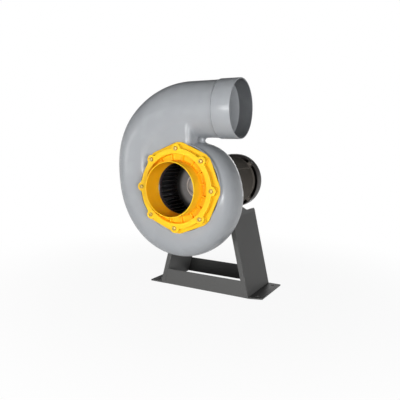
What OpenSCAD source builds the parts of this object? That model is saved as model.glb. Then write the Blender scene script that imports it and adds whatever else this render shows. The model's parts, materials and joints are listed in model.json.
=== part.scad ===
// Direct-driven centrifugal exhaust fan with a moulded scroll on a sheet-steel stand.
// Millimetres, +Z up. The origin is on the floor, midway between the feet's fixing holes.
// The fan's axis runs along Y: the inlet faces -Y, the motor is behind, the outlet faces +X.
// Depths named front and back are measured along Y from the scroll's middle plane.

/* [Placing] */
// Height of the fan's axis above the floor
axis_h = 345; // [320:1:380]
// Room between the scroll's flat back and the stand
stand_gap = 16; // [14:1:20]

/* [Scroll] */
// Outer radius of the drum, where the scroll starts at the tongue
tongue_r = 139.5; // [136:0.5:142]
// Outer radius of the scroll level with the axis on the outlet side
right_r = 154; // [146:1:162]
// Outer radius of the scroll below the axis
below_r = 212; // [196:1:220]
// Outer radius of the scroll level with the axis on the far side
left_r = 244; // [234:1:256]
// Outer radius of the scroll an eighth of a turn before the top
shoulder_r = 290.5; // [280:0.5:298]
// Height of the outlet's axis above the fan's axis
outlet_rise = 226; // [222:1:234]
// Outside radius of the outlet pipe
pipe_r = 81.5; // [78:0.5:82]
// Distance from the fan's axis to the weld between the pipe and its socket
pipe_end = 89; // [84:0.5:96]
// Half of the scroll's depth at the tongue
half_depth = 72; // [70:0.5:76]
// Radial size of the rounded outer edge at the tongue
edge_r = 50; // [40:1:56]
// Moulded wall
wall = 4; // [3:0.5:5]
// Depth of the thickened rim that takes the inlet screws
rim_depth = 12; // [11:0.5:13]
// Radius of the hole that the impeller passes through
front_hole_r = 100.5; // [100:0.5:103]
// Radius of the hole in the back wall
back_hole_r = 46; // [42:1:48]

/* [Outlet socket] */
// Diameter of the duct that slides into the socket
duct_d = 160; // [159:0.5:161]
// Radial room round the duct
duct_gap = 0.25; // [0.1:0.05:0.5]
// Wall of the socket
socket_wall = 3.8; // [3:0.1:4.5]
// Length of the tapered shoulder behind the socket
shoulder_len = 12; // [10:0.5:16]
// Length of the straight part of the socket
socket_len = 52.5; // [50:0.5:62]
// Depth to which the duct goes in
socket_depth = 43; // [35:1:50]
// Length of the inside taper that stops the duct
stop_len = 7.4; // [5:0.2:9]

/* [Inlet ring] */
// Outside radius of the inlet spigot
spigot_r = 79; // [78:0.5:82]
// Wall of the spigot
spigot_wall = 3; // [2:0.2:3.6]
// How far the spigot's rim stands ahead of the middle plane
spigot_front = 130; // [122:1:140]
// How far the lugged front ring stands ahead of the middle plane
ring_front = 98; // [94:1:104]
// Thickness of the lugged front ring
ring_t = 5; // [4:0.5:6]
// Inside radius of the lugged front ring
ring_in_r = 99; // [96:0.5:100]
// Outside radius of the lugged front ring between its lugs
ring_out_r = 114.5; // [112:0.5:118]
// Wall of the drum behind the front ring
drum_wall = 5; // [4:0.5:6]
// Radius of the circle of screws
screw_circle_r = 113.5; // [112:0.5:115]
// Radius of a lug
lug_r = 13.5; // [11:0.5:14]
// Number of screws and lugs
lugs = 8; // [6:1:10]
// Number of stiffening ribs in the recess
ribs = 16; // [12:1:24]
// Thickness of a rib
rib_t = 3; // [2:0.5:4]
// Thickness of the back flange
tier_t = 5.5; // [4.5:0.5:7]
// Outside radius of the back flange
tier_r = 131; // [129:0.5:133]
// Thickness of the flat gasket
gasket_t = 1.5; // [1:0.25:2.5]
// Inside radius of the throat where air enters the impeller
throat_r = 74.2; // [72:0.2:75.2]
// How far the throat reaches into the casing, measured from its flat front
throat_reach = 7; // [5:0.5:8]

/* [Impeller] */
// Outside radius of the impeller
wheel_r = 98; // [95:0.5:98.5]
// Inside radius of the blades
eye_r = 80; // [78:0.5:82]
// Front of the front ring, ahead of the middle plane
wheel_front = 58; // [52:1:59]
// Back of the backplate, behind the middle plane
wheel_back = 54; // [50:1:56]
// Thickness of the backplate
backplate_t = 4; // [3:0.5:5]
// Thickness of the front ring
shroud_t = 3; // [2:0.5:4]
// Number of blades
blades = 38; // [28:1:44]
// Thickness of a blade
blade_t = 2; // [1.6:0.2:2.6]
// Radius of the hub behind its cap
hub_r = 39; // [34:1:42]
// How far the hub cap stands out from the hub's front face
cap_h = 30; // [24:1:36]

/* [Motor] */
// Radius of the motor's smooth body
motor_r = 83; // [80:0.5:84]
// Length of the motor's body between its end shields
body_len = 174; // [160:1:190]
// Radius of the shaft's free end
shaft_r = 12; // [11:0.5:12.4]
// Length of the shaft's free end
shaft_len = 50; // [46:1:54]
// Bore radius of the bearings
bearing_bore_r = 12.5; // [12.5:0.5:13]
// Outside radius of the bearings
bearing_r = 26; // [25:0.5:28]
// Width of the bearings
bearing_w = 15; // [14:0.5:16]
// Outside radius of the fan cowl
cowl_r = 94; // [92:0.5:98]
// Length of the fan cowl
cowl_len = 45; // [40:1:52]
// Sheet thickness of the fan cowl
cowl_t = 2.2; // [1.6:0.2:2.6]
// Rounding of the cowl's back edge
cowl_round = 12; // [8:1:14]
// Number of spokes left across the cowl's grille
cowl_spokes = 6; // [4:1:8]
// Number of blades on the cooling fan
fan_blades = 8; // [6:1:10]

/* [Terminal box] */
// Length of the terminal box along the motor
box_len = 92; // [84:1:100]
// Height of the terminal box
box_h = 88; // [80:1:96]
// How far the box stands out from the motor's body
box_out = 38; // [32:1:46]
// Wall of the terminal box
box_wall = 3.5; // [3:0.5:4.5]
// Bore radius of the cable gland
gland_bore_r = 6.5; // [5.5:0.5:7]

/* [Stand] */
// Width of the stand across both feet
base_w = 400; // [385:1:430]
// Depth of the stand from front to back
base_d = 190; // [180:1:200]
// Sheet thickness of the legs and braces
sheet_t = 4; // [3:0.5:5]
// Distance of a leg's outer face from the middle at the foot
foot_x = 158; // [155:1:165]
// Distance of a leg's outer face from the middle above the bend
lip_x = 98.8; // [98:0.2:104]
// Height of the bend above the floor
bend_h = 247; // [240:1:255]
// Height of the legs at the back
leg_back_h = 259; // [256:1:268]
// Height of the legs at the front
leg_front_h = 300; // [290:1:305]
// Width of the folded front edge of a leg
fold_w = 15; // [12:1:20]
// Height of the front and back braces
brace_h = 52; // [40:1:60]
// Thickness of the motor plate
plate_t = 6; // [5:0.5:8]
// Radius of the motor plate's round top
plate_r = 105; // [103:1:108]
// How far the motor plate reaches down below the bend
plate_drop = 42; // [35:1:50]
// Radius of a fixing hole in a foot
fixing_r = 5.5; // [4.5:0.5:6.5]
// Distance of a fixing hole from the foot's side edge
fixing_in = 20; // [16:1:22]
// Distance of a fixing hole from the foot's front or back edge
fixing_end = 25; // [20:1:35]
// Length of the cut corner at the front of the right foot
corner_cut = 14; // [8:1:20]

/* [Hidden] */

// Smoothness of round parts, small round parts and rounded mesh edges
round_fn = 96;
small_fn = 32;
// Length that a cutting shape runs past what it cuts
past = 1;
// Radial clearance of a shaft or screw in its hole, and of a pressed ring in its seat
running = 0.05;
seat_gap = 0.02;
// Room between parts that stand side by side
side_gap = 0.3;
// Radial room round a small screw in a clearance hole
hole_gap = 0.3;
// Radial room round an M6 or M8 screw in a clearance hole
wide_gap = 0.5;

// Angles on the scroll are turns from the tongue, clockwise seen from the inlet
tongue_angle = 60;
turn_at = [0, 60, 150, 240, 285, 330];
radius_at = [tongue_r, right_r, below_r, left_r, shoulder_r, outlet_rise + pipe_r];
last_turn = 330;
first_turn = -30;
turn_step = 9;
section_points = 28;
// Sides of the round forms in the casing's mesh
mesh_fn = 60;
mesh_hole_fn = 16;
// How far the drum's flat faces lie under its rims
drum_sunk = 1;
start_slope_share = 1.2;
// Squareness of the section's outer and inner halves at the tongue; 2 is an ellipse
outer_square = 2.6;
inner_square = 5;
// How late the inner half turns round: the flat front runs on nearly to the pipe
rounding_power = 9;
// Radial size of the section's inner half at the tongue
inner_half = 58;
outlet_h = axis_h + outlet_rise;
// Radius of the plain drum, which the scroll grows out of ahead of the tongue
drum_r = tongue_r - 8;
drum_middle_r = drum_r - edge_r;

// Flat rim round the front hole, the seat of the inlet ring on it and the pad round the back hole
rim_r = tier_r - 2;
seat_r = tier_r + 1;
// Column of the inlet ring behind each lug, and the flats of its back flange
column_r = lug_r - 3;
tier_flat_r = tier_r - 6.5;
// Thickened root of the spigot, which stops a sleeve pushed over it
root_step = 1;
// Depth of the ribs' front edges behind the front ring's back
rib_drop = 4;
back_pad_r = back_hole_r + 16;
back_pad_t = wall + 2;
// Web between the outlet pipe and the drum
web_end = 38;
web_half = 26;
web_start = -45;
web_sunk = 12;

// Depths along the fan's axis, from the scroll's middle plane
tier_back = -half_depth - gasket_t;
tier_front = tier_back - tier_t;
ring_back = -ring_front + ring_t;
lug_back = ring_back + 1.5;
throat_end = -half_depth + throat_reach;
fold_front = half_depth + stand_gap;
scroll_ahead = fold_front + base_d / 2;
plate_front = fold_front + sheet_t;
plate_back = plate_front + plate_t;
shaft_end = plate_back - shaft_len;
base_back = fold_front + base_d;

// Sizes of an M6 screw with its washer
m6_r = 3;
m6_head_r = 5.77;
m6_head_h = 4;
m6_washer_r = 6.2;
m6_washer_t = 1.6;
m6_recess_r = 7.2;
m6_recess_t = 1.2;
inlet_screw_len = 34;
insert_wall = 2.6;
// Sizes of an M8 bolt with its washer
m8_r = 4;
m8_head_r = 7.5;
m8_head_h = 5.3;
m8_washer_r = 8.2;
m8_washer_t = 1.6;
// Sizes of an M5 screw
m5_r = 2.5;
m5_head_r = 4.6;
m5_head_h = 3;

// Back cover and its seal
cover_r = back_pad_r - 1;
cover_t = 4;
cover_screw_r = cover_r - 7;
cover_screws = 6;
cover_hub_r = 27;
cover_hub_back = half_depth + 12;
seal_r = 20;
seal_t = 7;
slinger_r = 19;
slinger_t = 3;

// Bolts between the casing's back bosses and the motor plate
boss_r = 11.5;
boss_circle_r = motor_r + m8_washer_r + 3;
boss_count = 4;
boss_turn = 45;
housing_bolt_len = 26;

// Hub and impeller seat
hub_front = shaft_end - 4;
hub_back = wheel_back + 12;
hub_boss_r = 26;
key_w = 8;
key_h = 7;
key_in_shaft = 4;
key_len = hub_back - hub_front - 10;
cap_t = 2.5;
hub_washer_r = 16;
hub_washer_t = 3;
hub_bolt_len = 26;
blade_arc_r = 13.5;
blade_steps = 6;

// Motor depths
spigot_t = 3.5;
face_spigot_r = 55;
motor_bolt_circle_r = 65;
motor_bolt_len = 20;
shield_t = 22;
body_front = plate_back + shield_t;
body_back = body_front + body_len;
lap = 6;
body_wall = 5;
seam_turn = -35;
seam_w = 3;
seam_h = 1.2;
front_bearing_front = plate_back + 2;
rear_bearing_front = body_back - 5;
rear_wall_back = body_back + 18;
bearing_pocket_wall = 8;
ball_pitch_r = (bearing_r + bearing_bore_r) / 2;
ball_r = (bearing_r - bearing_bore_r) * 0.28;
ball_count = 9;
race_wall = ball_r;
cage_half_w = 2;
cage_half_t = 1;
shaft_middle_r = bearing_bore_r + 2.5;
shaft_lead = 1;
fan_seat_r = 10;
fan_front = rear_wall_back + 6;
fan_hub_r = 16;
fan_hub_len = 22;
fan_disc_r = motor_r - 18;
fan_disc_at = 2;
fan_disc_t = 2.5;
fan_tip_r = motor_r - 10;
fan_blade_w = 17;
fan_blade_t = 2.5;
circlip_front = fan_front + fan_hub_len + 0.1;
circlip_t = 1.4;
circlip_back = circlip_front + circlip_t + 2 * running;
circlip_w = 3;
circlip_groove = 0.8;
circlip_gap = 4;
shaft_back = fan_front + fan_hub_len + 6;
core_r = motor_r - body_wall - 0.1;
core_bore_r = 45;
air_gap = 0.5;
core_in = 36;
core_front = body_front + core_in;
core_len = 100;
slots = 24;
slot_w = 6;
slot_d = 16;
winding_len = 18;
end_ring_len = 8;
end_ring_r = core_bore_r - 3;
end_ring_w = 9;
end_fins = 8;
end_fin_t = 3;
end_fin_h = 8;
tie_circle_r = core_r - 3.5;
tie_r = 2.5;
tie_turn = 45;
tie_thread = 6;
tie_sunk = 1;

// Fan cowl and its lugs on the back shield
cowl_front = rear_wall_back - 5;
cowl_back = cowl_front + cowl_len;
cowl_lug_w = 14;
cowl_lug_len = 16;
cowl_lug_r = cowl_r - cowl_t - side_gap;
lug_root = 7;
cowl_screw_len = 8;
cowl_screw_in = 6;
grille_pitch = 11;
grille_slot = 6;
grille_first_r = 16;
grille_rings = 4;
spoke_w = 5;

// Terminal box, on the side away from the outlet
box_in = 62;
box_middle = body_front + box_in;
box_face = motor_r + box_out;
lid_t = 4.5;
lid_seat = 2;
lid_screw_len = 12;
lead_hole_r = 14;
lid_rib_h = 2;
lid_top = box_face + lid_t + lid_rib_h;
lid_rib_in = 6;
corner_in = 8;
corner_boss_r = 6;
box_floor = 5;
gland_r = 10;
gland_dome_r = 12.5;
gland_hex_r = 13.5;
gland_hex_t = 6;
gland_len = 24;
gland_inside = 10.5;
gland_nut_t = 5;
gland_out = motor_r + box_out / 2 + 2;
box_foot_r = motor_r - 14;
block_len = 50;
block_w = 22;
block_t = 12;
block_up = 17;
block_pitch = 16;

// Outline of a leg's lip, seen from the side
leg_lean = (foot_x - lip_x) / (bend_h - sheet_t);
lip_flat = 72;
lip_corner = 10;
lip_slope = 0.36;
plate_low = bend_h - plate_drop;

// Colours
grey = "#9ba0a4";
yellow = "#fcc419";
steel_grey = "#555759";
dark_plastic = "#26282a";
motor_brown = "#45423c";
cowl_grey = "#4a4949";
bright = "#b8bcc0";
copper = "#b87333";
brass = "#c9a646";
rubber = "#1d1d1d";

// Moves to the fan's axis; z then runs backwards from the scroll's middle plane
module on_axis() {
  translate([0, -scroll_ahead, axis_h]) rotate([-90, 0, 0]) children();
}

// A plain ring about the axis, between two depths
module ring(outer, bore, front, back) {
  translate([0, 0, front]) difference() {
    cylinder(r = outer, h = back - front, $fn = round_fn);
    translate([0, 0, -past]) cylinder(r = bore, h = back - front + 2 * past, $fn = round_fn);
  }
}

// A round bar about the axis, between two depths
module bar(radius, front, back, sides = round_fn) {
  translate([0, 0, front]) cylinder(r = radius, h = back - front, $fn = sides);
}

// Copies of the children round the axis, moved out to a radius
module round_about(count, radius, turn = 0) {
  for (i = [0 : count - 1]) rotate([0, 0, turn + i * 360 / count]) translate([radius, 0, 0]) children();
}

// A hexagon-headed bolt: its head ends at depth 0 and its shank runs back
module bolt(shank_r, shank_len, head_r, head_h, washer_r, washer_t) {
  bar(shank_r, 0, shank_len, small_fn);
  if (washer_t > 0) bar(washer_r, -washer_t, 0, small_fn);
  bar(head_r, -washer_t - head_h, -washer_t, 6);
}

// Scroll form
function mix(a, b, share) = a + (b - a) * share;
function stations_passed(turn) = len([for (t = turn_at) if (t <= turn) 1]);
function station_before(turn) = min(max(stations_passed(turn) - 1, 0), len(turn_at) - 2);
function slope_at(i) =
  i == 0 ? start_slope_share * (radius_at[1] - radius_at[0]) / (turn_at[1] - turn_at[0])
  : i == len(turn_at) - 1 ? 0
  : (radius_at[i + 1] - radius_at[i - 1]) / (turn_at[i + 1] - turn_at[i - 1]);
function cubic(t, r0, r1, m0, m1) =
  (2 * pow(t, 3) - 3 * pow(t, 2) + 1) * r0 + (pow(t, 3) - 2 * pow(t, 2) + t) * m0
  + (3 * pow(t, 2) - 2 * pow(t, 3)) * r1 + (pow(t, 3) - pow(t, 2)) * m1;
function span_radius(turn, i) =
  let (gap = turn_at[i + 1] - turn_at[i])
  cubic((turn - turn_at[i]) / gap, radius_at[i], radius_at[i + 1], slope_at(i) * gap, slope_at(i + 1) * gap);
function outer_radius(turn) =
  turn < 0 ? tongue_r + slope_at(0) * turn : span_radius(turn, station_before(turn));
function share(turn) = max(turn, 0) / last_turn;
function signed_power(value, power) = sign(value) * pow(abs(value), power);

// One point of a section, as distance from the fan's axis and depth
function section_point(turn, angle, inset) =
  let (
    s = share(turn),
    outward = cos(angle) >= 0,
    out_half = mix(edge_r, pipe_r, s),
    in_half = mix(inner_half, pipe_r, s),
    deep = mix(half_depth, pipe_r, pow(s, 3)) - inset,
    square = outward ? mix(outer_square, 2, s) : mix(inner_square, 2, pow(s, rounding_power)),
    reach = (outward ? out_half : in_half) - inset
  )
  [outer_radius(turn) - out_half + reach * signed_power(cos(angle), 2 / square),
   deep * signed_power(sin(angle), 2 / square)];
function on_scroll(turn, p) =
  [p[0] * cos(tongue_angle - turn), p[1] - scroll_ahead, axis_h + p[0] * sin(tongue_angle - turn)];
function scroll_turns(inset) =
  [for (i = [0 : ceil((last_turn - first_turn) / turn_step)])
    min(first_turn + inset + i * turn_step, last_turn)];
function section(turn, inset) =
  [for (k = [0 : section_points - 1]) on_scroll(turn, section_point(turn, 360 * k / section_points, inset))];
function pipe_section(x, inset) =
  [for (p = section(last_turn, inset)) [x, p[1], p[2]]];
function scroll_rings(inset, reach) =
  concat([for (turn = scroll_turns(inset)) section(turn, inset)], [pipe_section(pipe_end + reach, inset)]);

// Skin over a row of rings with the same number of points
module skin(rings) {
  n = len(rings[0]);
  last = len(rings) - 1;
  faces = concat(
    [[for (k = [n - 1 : -1 : 0]) k]],
    [for (i = [0 : last - 1], k = [0 : n - 1]) [i * n + k, (i + 1) * n + (k + 1) % n, (i + 1) * n + k]],
    [for (i = [0 : last - 1], k = [0 : n - 1]) [i * n + k, i * n + (k + 1) % n, (i + 1) * n + (k + 1) % n]],
    [[for (k = [0 : n - 1]) last * n + k]]
  );
  polyhedron(points = [for (ring = rings, p = ring) p], faces = faces, convexity = 8);
}

// Half outline of the drum in the middle of the scroll
function drum_outline(inset) = concat(
  [[0, inset + drum_sunk - half_depth]],
  [for (angle = [-90 : 18 : 90])
    [drum_middle_r + (edge_r - inset) * signed_power(cos(angle), 2 / outer_square),
     (half_depth - drum_sunk - inset) * signed_power(sin(angle), 2 / outer_square)]],
  [[0, half_depth - drum_sunk - inset]]
);
module drum(inset) {
  on_axis() rotate_extrude($fn = mesh_fn) polygon(drum_outline(inset));
}

// Curved web that joins the underside of the outlet pipe to the drum
module web() {
  foot_r = outer_radius(tongue_angle - acos(web_end / tongue_r));
  gap_h = outlet_rise - pipe_r - foot_r * cos(asin(web_end / foot_r));
  translate([0, web_half - scroll_ahead, 0]) rotate([90, 0, 0])
    linear_extrude(2 * web_half) difference() {
      translate([web_start, outlet_h - pipe_r - gap_h - web_sunk])
        square([web_end - web_start + gap_h / 3, gap_h + web_sunk + wall]);
      translate([web_end + gap_h / 2, outlet_h - pipe_r - gap_h / 2])
        circle(r = gap_h / 2 + 0.4, $fn = small_fn);
    }
}

// Thickened rims and bosses that stay solid where the casing is hollow
module rims(front_r, out) {
  bar(front_r, -half_depth - out, -half_depth + rim_depth, mesh_fn);
  bar(back_pad_r, half_depth - back_pad_t, half_depth + out, mesh_fn);
  round_about(boss_count, boss_circle_r, boss_turn)
    bar(boss_r, half_depth - back_pad_t, plate_front, mesh_hole_fn);
}

// A faceted hole that clears a round part of the given radius
module mesh_hole(radius, front, back) {
  bar(radius / cos(180 / mesh_hole_fn), front, back, mesh_hole_fn);
}

module volute_housing() {
  color(grey) difference() {
    union() {
      skin(scroll_rings(0, 0));
      drum(0);
      web();
      on_axis() rims(rim_r, 0);
    }
    difference() {
      union() {
        skin(scroll_rings(wall, past));
        drum(wall);
      }
      on_axis() rims(seat_r + wall, wall);
    }
    on_axis() {
      bar(seat_r, -pipe_r, -half_depth, mesh_fn);
      bar(front_hole_r, -half_depth - past, 0, mesh_fn);
      bar(back_hole_r, 0, half_depth + past, mesh_fn);
      round_about(lugs, screw_circle_r)
        mesh_hole(m6_r + insert_wall + seat_gap, -half_depth - past, -half_depth + rim_depth + past);
      round_about(boss_count, boss_circle_r, boss_turn)
        mesh_hole(m8_r + insert_wall + seat_gap, half_depth - wall, plate_front + past);
      round_about(cover_screws, cover_screw_r)
        mesh_hole(m5_r + running, half_depth - back_pad_t - past, half_depth + past);
    }
  }
}

// Moves to the outlet's axis; z then runs outwards along +X
module on_outlet() {
  translate([0, -scroll_ahead, outlet_h]) rotate([0, 90, 0]) children();
}

module outlet_socket() {
  bore_r = duct_d / 2 + duct_gap;
  outer_r = bore_r + socket_wall;
  pipe_bore_r = pipe_r - wall;
  straight = pipe_end + shoulder_len;
  mouth = straight + socket_len;
  stop = mouth - socket_depth;
  lead = 0.8;
  color(grey) on_outlet() rotate_extrude($fn = round_fn) polygon([
    [pipe_bore_r, pipe_end], [pipe_r, pipe_end], [outer_r, straight],
    [outer_r, mouth - lead], [outer_r - lead, mouth], [bore_r + lead, mouth],
    [bore_r, mouth - lead], [bore_r, stop], [pipe_bore_r, stop - stop_len]
  ]);
}

module front_inserts() {
  color(brass) on_axis() round_about(lugs, screw_circle_r) difference() {
    bar(m6_r + insert_wall, -half_depth, -half_depth + rim_depth, small_fn);
    bar(m6_r + running, -half_depth - past, -half_depth + rim_depth + past, small_fn);
  }
}

module back_inserts() {
  color(brass) on_axis() round_about(boss_count, boss_circle_r, boss_turn) difference() {
    bar(m8_r + insert_wall, half_depth - wall + side_gap, plate_front, small_fn);
    bar(m8_r + running, half_depth - wall, plate_front + past, small_fn);
  }
}

module housing_bolts() {
  color(bright) on_axis() round_about(boss_count, boss_circle_r, boss_turn)
    translate([0, 0, plate_back]) mirror([0, 0, 1])
      bolt(m8_r, housing_bolt_len, m8_head_r, m8_head_h, m8_washer_r, m8_washer_t);
}

module back_cover() {
  color(grey) on_axis() difference() {
    union() {
      bar(cover_r, half_depth, half_depth + cover_t);
      bar(cover_hub_r, half_depth, cover_hub_back);
    }
    bar(shaft_r + 1, half_depth - past, cover_hub_back + past);
    bar(seal_r + seat_gap, cover_hub_back - seal_t, cover_hub_back + past);
    round_about(cover_screws, cover_screw_r)
      bar(m5_r + running, half_depth - past, half_depth + cover_t + past, small_fn);
  }
}

module back_cover_screws() {
  color(bright) on_axis() round_about(cover_screws, cover_screw_r)
    translate([0, 0, half_depth + cover_t]) {
      bar(m5_r, -cover_t - back_pad_t + 0.5, 0, small_fn);
      bar(m5_head_r, 0, m5_head_h, small_fn);
    }
}

module shaft_seal() {
  color(rubber) on_axis() ring(seal_r, shaft_r + running, cover_hub_back - seal_t, cover_hub_back);
}

module slinger() {
  color(rubber) on_axis()
    ring(slinger_r, shaft_r + seat_gap, cover_hub_back + side_gap, cover_hub_back + side_gap + slinger_t);
}

// Inlet ring: spigot, lugged front ring, drum wall, ribs and back flange
module spigot_form() {
  bore_r = spigot_r - spigot_wall;
  lip_r = throat_r + spigot_wall;
  rotate_extrude($fn = round_fn) polygon([
    [bore_r, -spigot_front], [spigot_r, -spigot_front], [spigot_r, ring_back],
    [spigot_r + root_step, ring_back], [spigot_r + root_step, tier_back],
    [lip_r, tier_back], [lip_r, throat_end], [throat_r, throat_end], [bore_r, -ring_front]
  ]);
}

module back_tier() {
  intersection() {
    bar(tier_r, tier_front, tier_back);
    bar(tier_flat_r / cos(180 / lugs), tier_front, tier_back, lugs);
  }
}

module inlet_ring() {
  color(yellow) on_axis() difference() {
    union() {
      difference() {
        union() {
          back_tier();
          bar(ring_in_r + drum_wall, ring_back - past, tier_back);
          bar(ring_out_r, -ring_front, ring_back);
          round_about(lugs, screw_circle_r) {
            bar(lug_r, -ring_front, lug_back, small_fn);
            bar(column_r, lug_back - past, tier_back, small_fn);
          }
        }
        bar(ring_in_r, -ring_front - past, tier_front);
        bar(spigot_r - past / 2, tier_front - past, tier_back + past);
      }
      spigot_form();
      rib_len = ring_in_r - spigot_r + 2 * past;
      round_about(ribs, spigot_r - past, 180 / ribs)
        translate([0, -rib_t / 2, ring_back + rib_drop])
          cube([rib_len, rib_t, tier_front - ring_back - rib_drop + past]);
    }
    round_about(lugs, screw_circle_r) {
      bar(m6_r + wide_gap, -ring_front - past, tier_back + past, small_fn);
      bar(m6_recess_r, -ring_front - past, -ring_front + m6_recess_t, small_fn);
    }
  }
}

module inlet_gasket() {
  color(rubber) on_axis() difference() {
    ring(rim_r - 3, front_hole_r + 0.5, tier_back, -half_depth);
    round_about(lugs, screw_circle_r) bar(m6_r + wide_gap, tier_back - past, past - half_depth, small_fn);
  }
}

module inlet_screws() {
  color(bright) on_axis() round_about(lugs, screw_circle_r)
    translate([0, 0, -ring_front + m6_recess_t])
      bolt(m6_r, inlet_screw_len, m6_head_r, m6_head_h, m6_washer_r, m6_washer_t);
}

// Impeller
module key_slot(extra) {
  translate([shaft_r - key_in_shaft, -key_w / 2 - extra, hub_front + 5 - extra])
    cube([key_h + extra, key_w + 2 * extra, key_len + 2 * extra]);
}

module impeller_backplate() {
  color(dark_plastic) on_axis() difference() {
    union() {
      bar(wheel_r, wheel_back - backplate_t, wheel_back);
      bar(hub_r, hub_front, wheel_back);
      bar(hub_boss_r, wheel_back - past, hub_back);
    }
    bar(shaft_r + running, hub_front - past, hub_back + past);
    key_slot(running);
    translate([shaft_r - key_in_shaft, -key_w / 2 - running, hub_front - past])
      cube([key_h + running, key_w + 2 * running, hub_back - hub_front + 2 * past]);
  }
}

// One forward-curved blade in plan: an arc of even thickness
function blade_edge(radius) =
  let (middle = [mix(eye_r, wheel_r, 0.26), blade_arc_r - 0.5])
  [for (i = [0 : blade_steps])
    let (angle = mix(-112, -12, i / blade_steps)) middle + radius * [cos(angle), sin(angle)]];
function reversed(list) = [for (i = [len(list) - 1 : -1 : 0]) list[i]];

module impeller_blades() {
  outline = concat(blade_edge(blade_arc_r + blade_t / 2), reversed(blade_edge(blade_arc_r - blade_t / 2)));
  blade_len = wheel_front + wheel_back - shroud_t - backplate_t;
  color(dark_plastic) on_axis() translate([0, 0, shroud_t - wheel_front]) linear_extrude(blade_len)
    intersection() {
      for (i = [0 : blades - 1]) rotate(i * 360 / blades) polygon(outline);
      difference() {
        circle(r = wheel_r, $fn = round_fn);
        circle(r = eye_r, $fn = round_fn);
      }
    }
}

module impeller_front_ring() {
  color(dark_plastic) on_axis() ring(wheel_r, eye_r, -wheel_front, -wheel_front + shroud_t);
}

// Half outline of the rounded hub cap, a dome with a short straight skirt
function dome(radius, height) =
  [for (angle = [0 : 7.5 : 90]) [radius * cos(angle), -height * pow(sin(angle), 0.9)]];
module hub_cap() {
  color(bright) on_axis() translate([0, 0, hub_front]) rotate_extrude($fn = round_fn) difference() {
    polygon(concat([[0, 0]], dome(hub_r, cap_h)));
    polygon(concat([[0, past], [hub_r - cap_t, past]], dome(hub_r - cap_t, cap_h - cap_t)));
  }
}

module hub_washer() {
  color(bright) on_axis() ring(hub_washer_r, m8_r + running, hub_front - hub_washer_t, hub_front);
}

module hub_bolt() {
  color(bright) on_axis() translate([0, 0, hub_front - hub_washer_t])
    bolt(m8_r, hub_bolt_len, m8_head_r, m8_head_h, 0, 0);
}

module impeller_key() {
  color(bright) on_axis() key_slot(0);
}

// Motor
module front_shield() {
  pocket_back = front_bearing_front + bearing_w;
  pocket_r = bearing_r + seat_gap;
  lap_r = motor_r - body_wall;
  color(motor_brown) on_axis() difference() {
    rotate_extrude($fn = round_fn) polygon([
      [shaft_r + 1, plate_back - spigot_t], [face_spigot_r, plate_back - spigot_t],
      [face_spigot_r, plate_back], [motor_r - 2, plate_back], [motor_r, plate_back + 2],
      [motor_r, body_front], [lap_r, body_front], [lap_r, body_front + lap],
      [lap_r - 6, body_front + lap], [lap_r - 10, body_front - 6],
      [bearing_r + bearing_pocket_wall, body_front - 6], [bearing_r + bearing_pocket_wall, pocket_back],
      [pocket_r, pocket_back], [pocket_r, front_bearing_front], [shaft_r + 1, front_bearing_front]
    ]);
    round_about(4, motor_bolt_circle_r, 45) bar(m8_r + running, plate_back - past, body_front, small_fn);
    round_about(4, tie_circle_r, tie_turn)
      bar(tie_r + running, body_front - tie_thread - past, body_front + lap + past, small_fn);
  }
}

module motor_bolts() {
  color(bright) on_axis() round_about(4, motor_bolt_circle_r, 45)
    translate([0, 0, plate_front])
      bolt(m8_r, motor_bolt_len, m8_head_r, m8_head_h, m8_washer_r, m8_washer_t);
}

module stator_housing() {
  color(motor_brown) on_axis() difference() {
    union() {
      ring(motor_r, motor_r - body_wall + running, body_front, body_back);
      rotate([0, 0, seam_turn]) translate([motor_r - past, -seam_w / 2, body_front])
        cube([past + seam_h, seam_w, body_len]);
    }
    translate([0, 0, box_middle]) rotate([0, -90, 0]) bar(lead_hole_r, 0, motor_r + past, small_fn);
  }
}

module stator_core() {
  color(bright) on_axis() difference() {
    ring(core_r, core_bore_r, core_front, core_front + core_len);
    round_about(slots, core_bore_r)
      translate([2, -slot_w / 2, core_front - past]) cube([slot_d, slot_w, core_len + 2 * past]);
    round_about(slots, core_bore_r)
      translate([-past, -1, core_front - past]) cube([4, 2, core_len + 2 * past]);
    round_about(4, tie_circle_r, tie_turn)
      translate([0, 0, core_front - past]) cylinder(r = tie_r + 0.6, h = core_len + 2 * past, $fn = small_fn);
  }
}

module stator_windings() {
  inner = core_bore_r + 3;
  outer = core_bore_r + slot_d + 3;
  soft = 5;
  color(copper) on_axis() for (front = [core_front - winding_len, core_front + core_len])
    translate([0, 0, front]) rotate_extrude($fn = round_fn) polygon([
      [inner + soft, 0], [outer - soft, 0], [outer, soft], [outer, winding_len - soft],
      [outer - soft, winding_len], [inner + soft, winding_len], [inner, winding_len - soft], [inner, soft]
    ]);
}

module rotor_core() {
  color(bright) on_axis()
    ring(core_bore_r - air_gap, shaft_middle_r + seat_gap, core_front, core_front + core_len);
}

module rotor_end_rings() {
  color(bright) on_axis() {
    for (front = [core_front - end_ring_len, core_front + core_len])
      ring(end_ring_r, end_ring_r - end_ring_w, front, front + end_ring_len);
    for (front = [core_front - end_ring_len - end_fin_h, core_front + core_len])
      round_about(end_fins, end_ring_r - end_ring_w)
        translate([0, -end_fin_t / 2, front]) cube([end_ring_w - past, end_fin_t, end_ring_len + end_fin_h]);
  }
}

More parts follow.
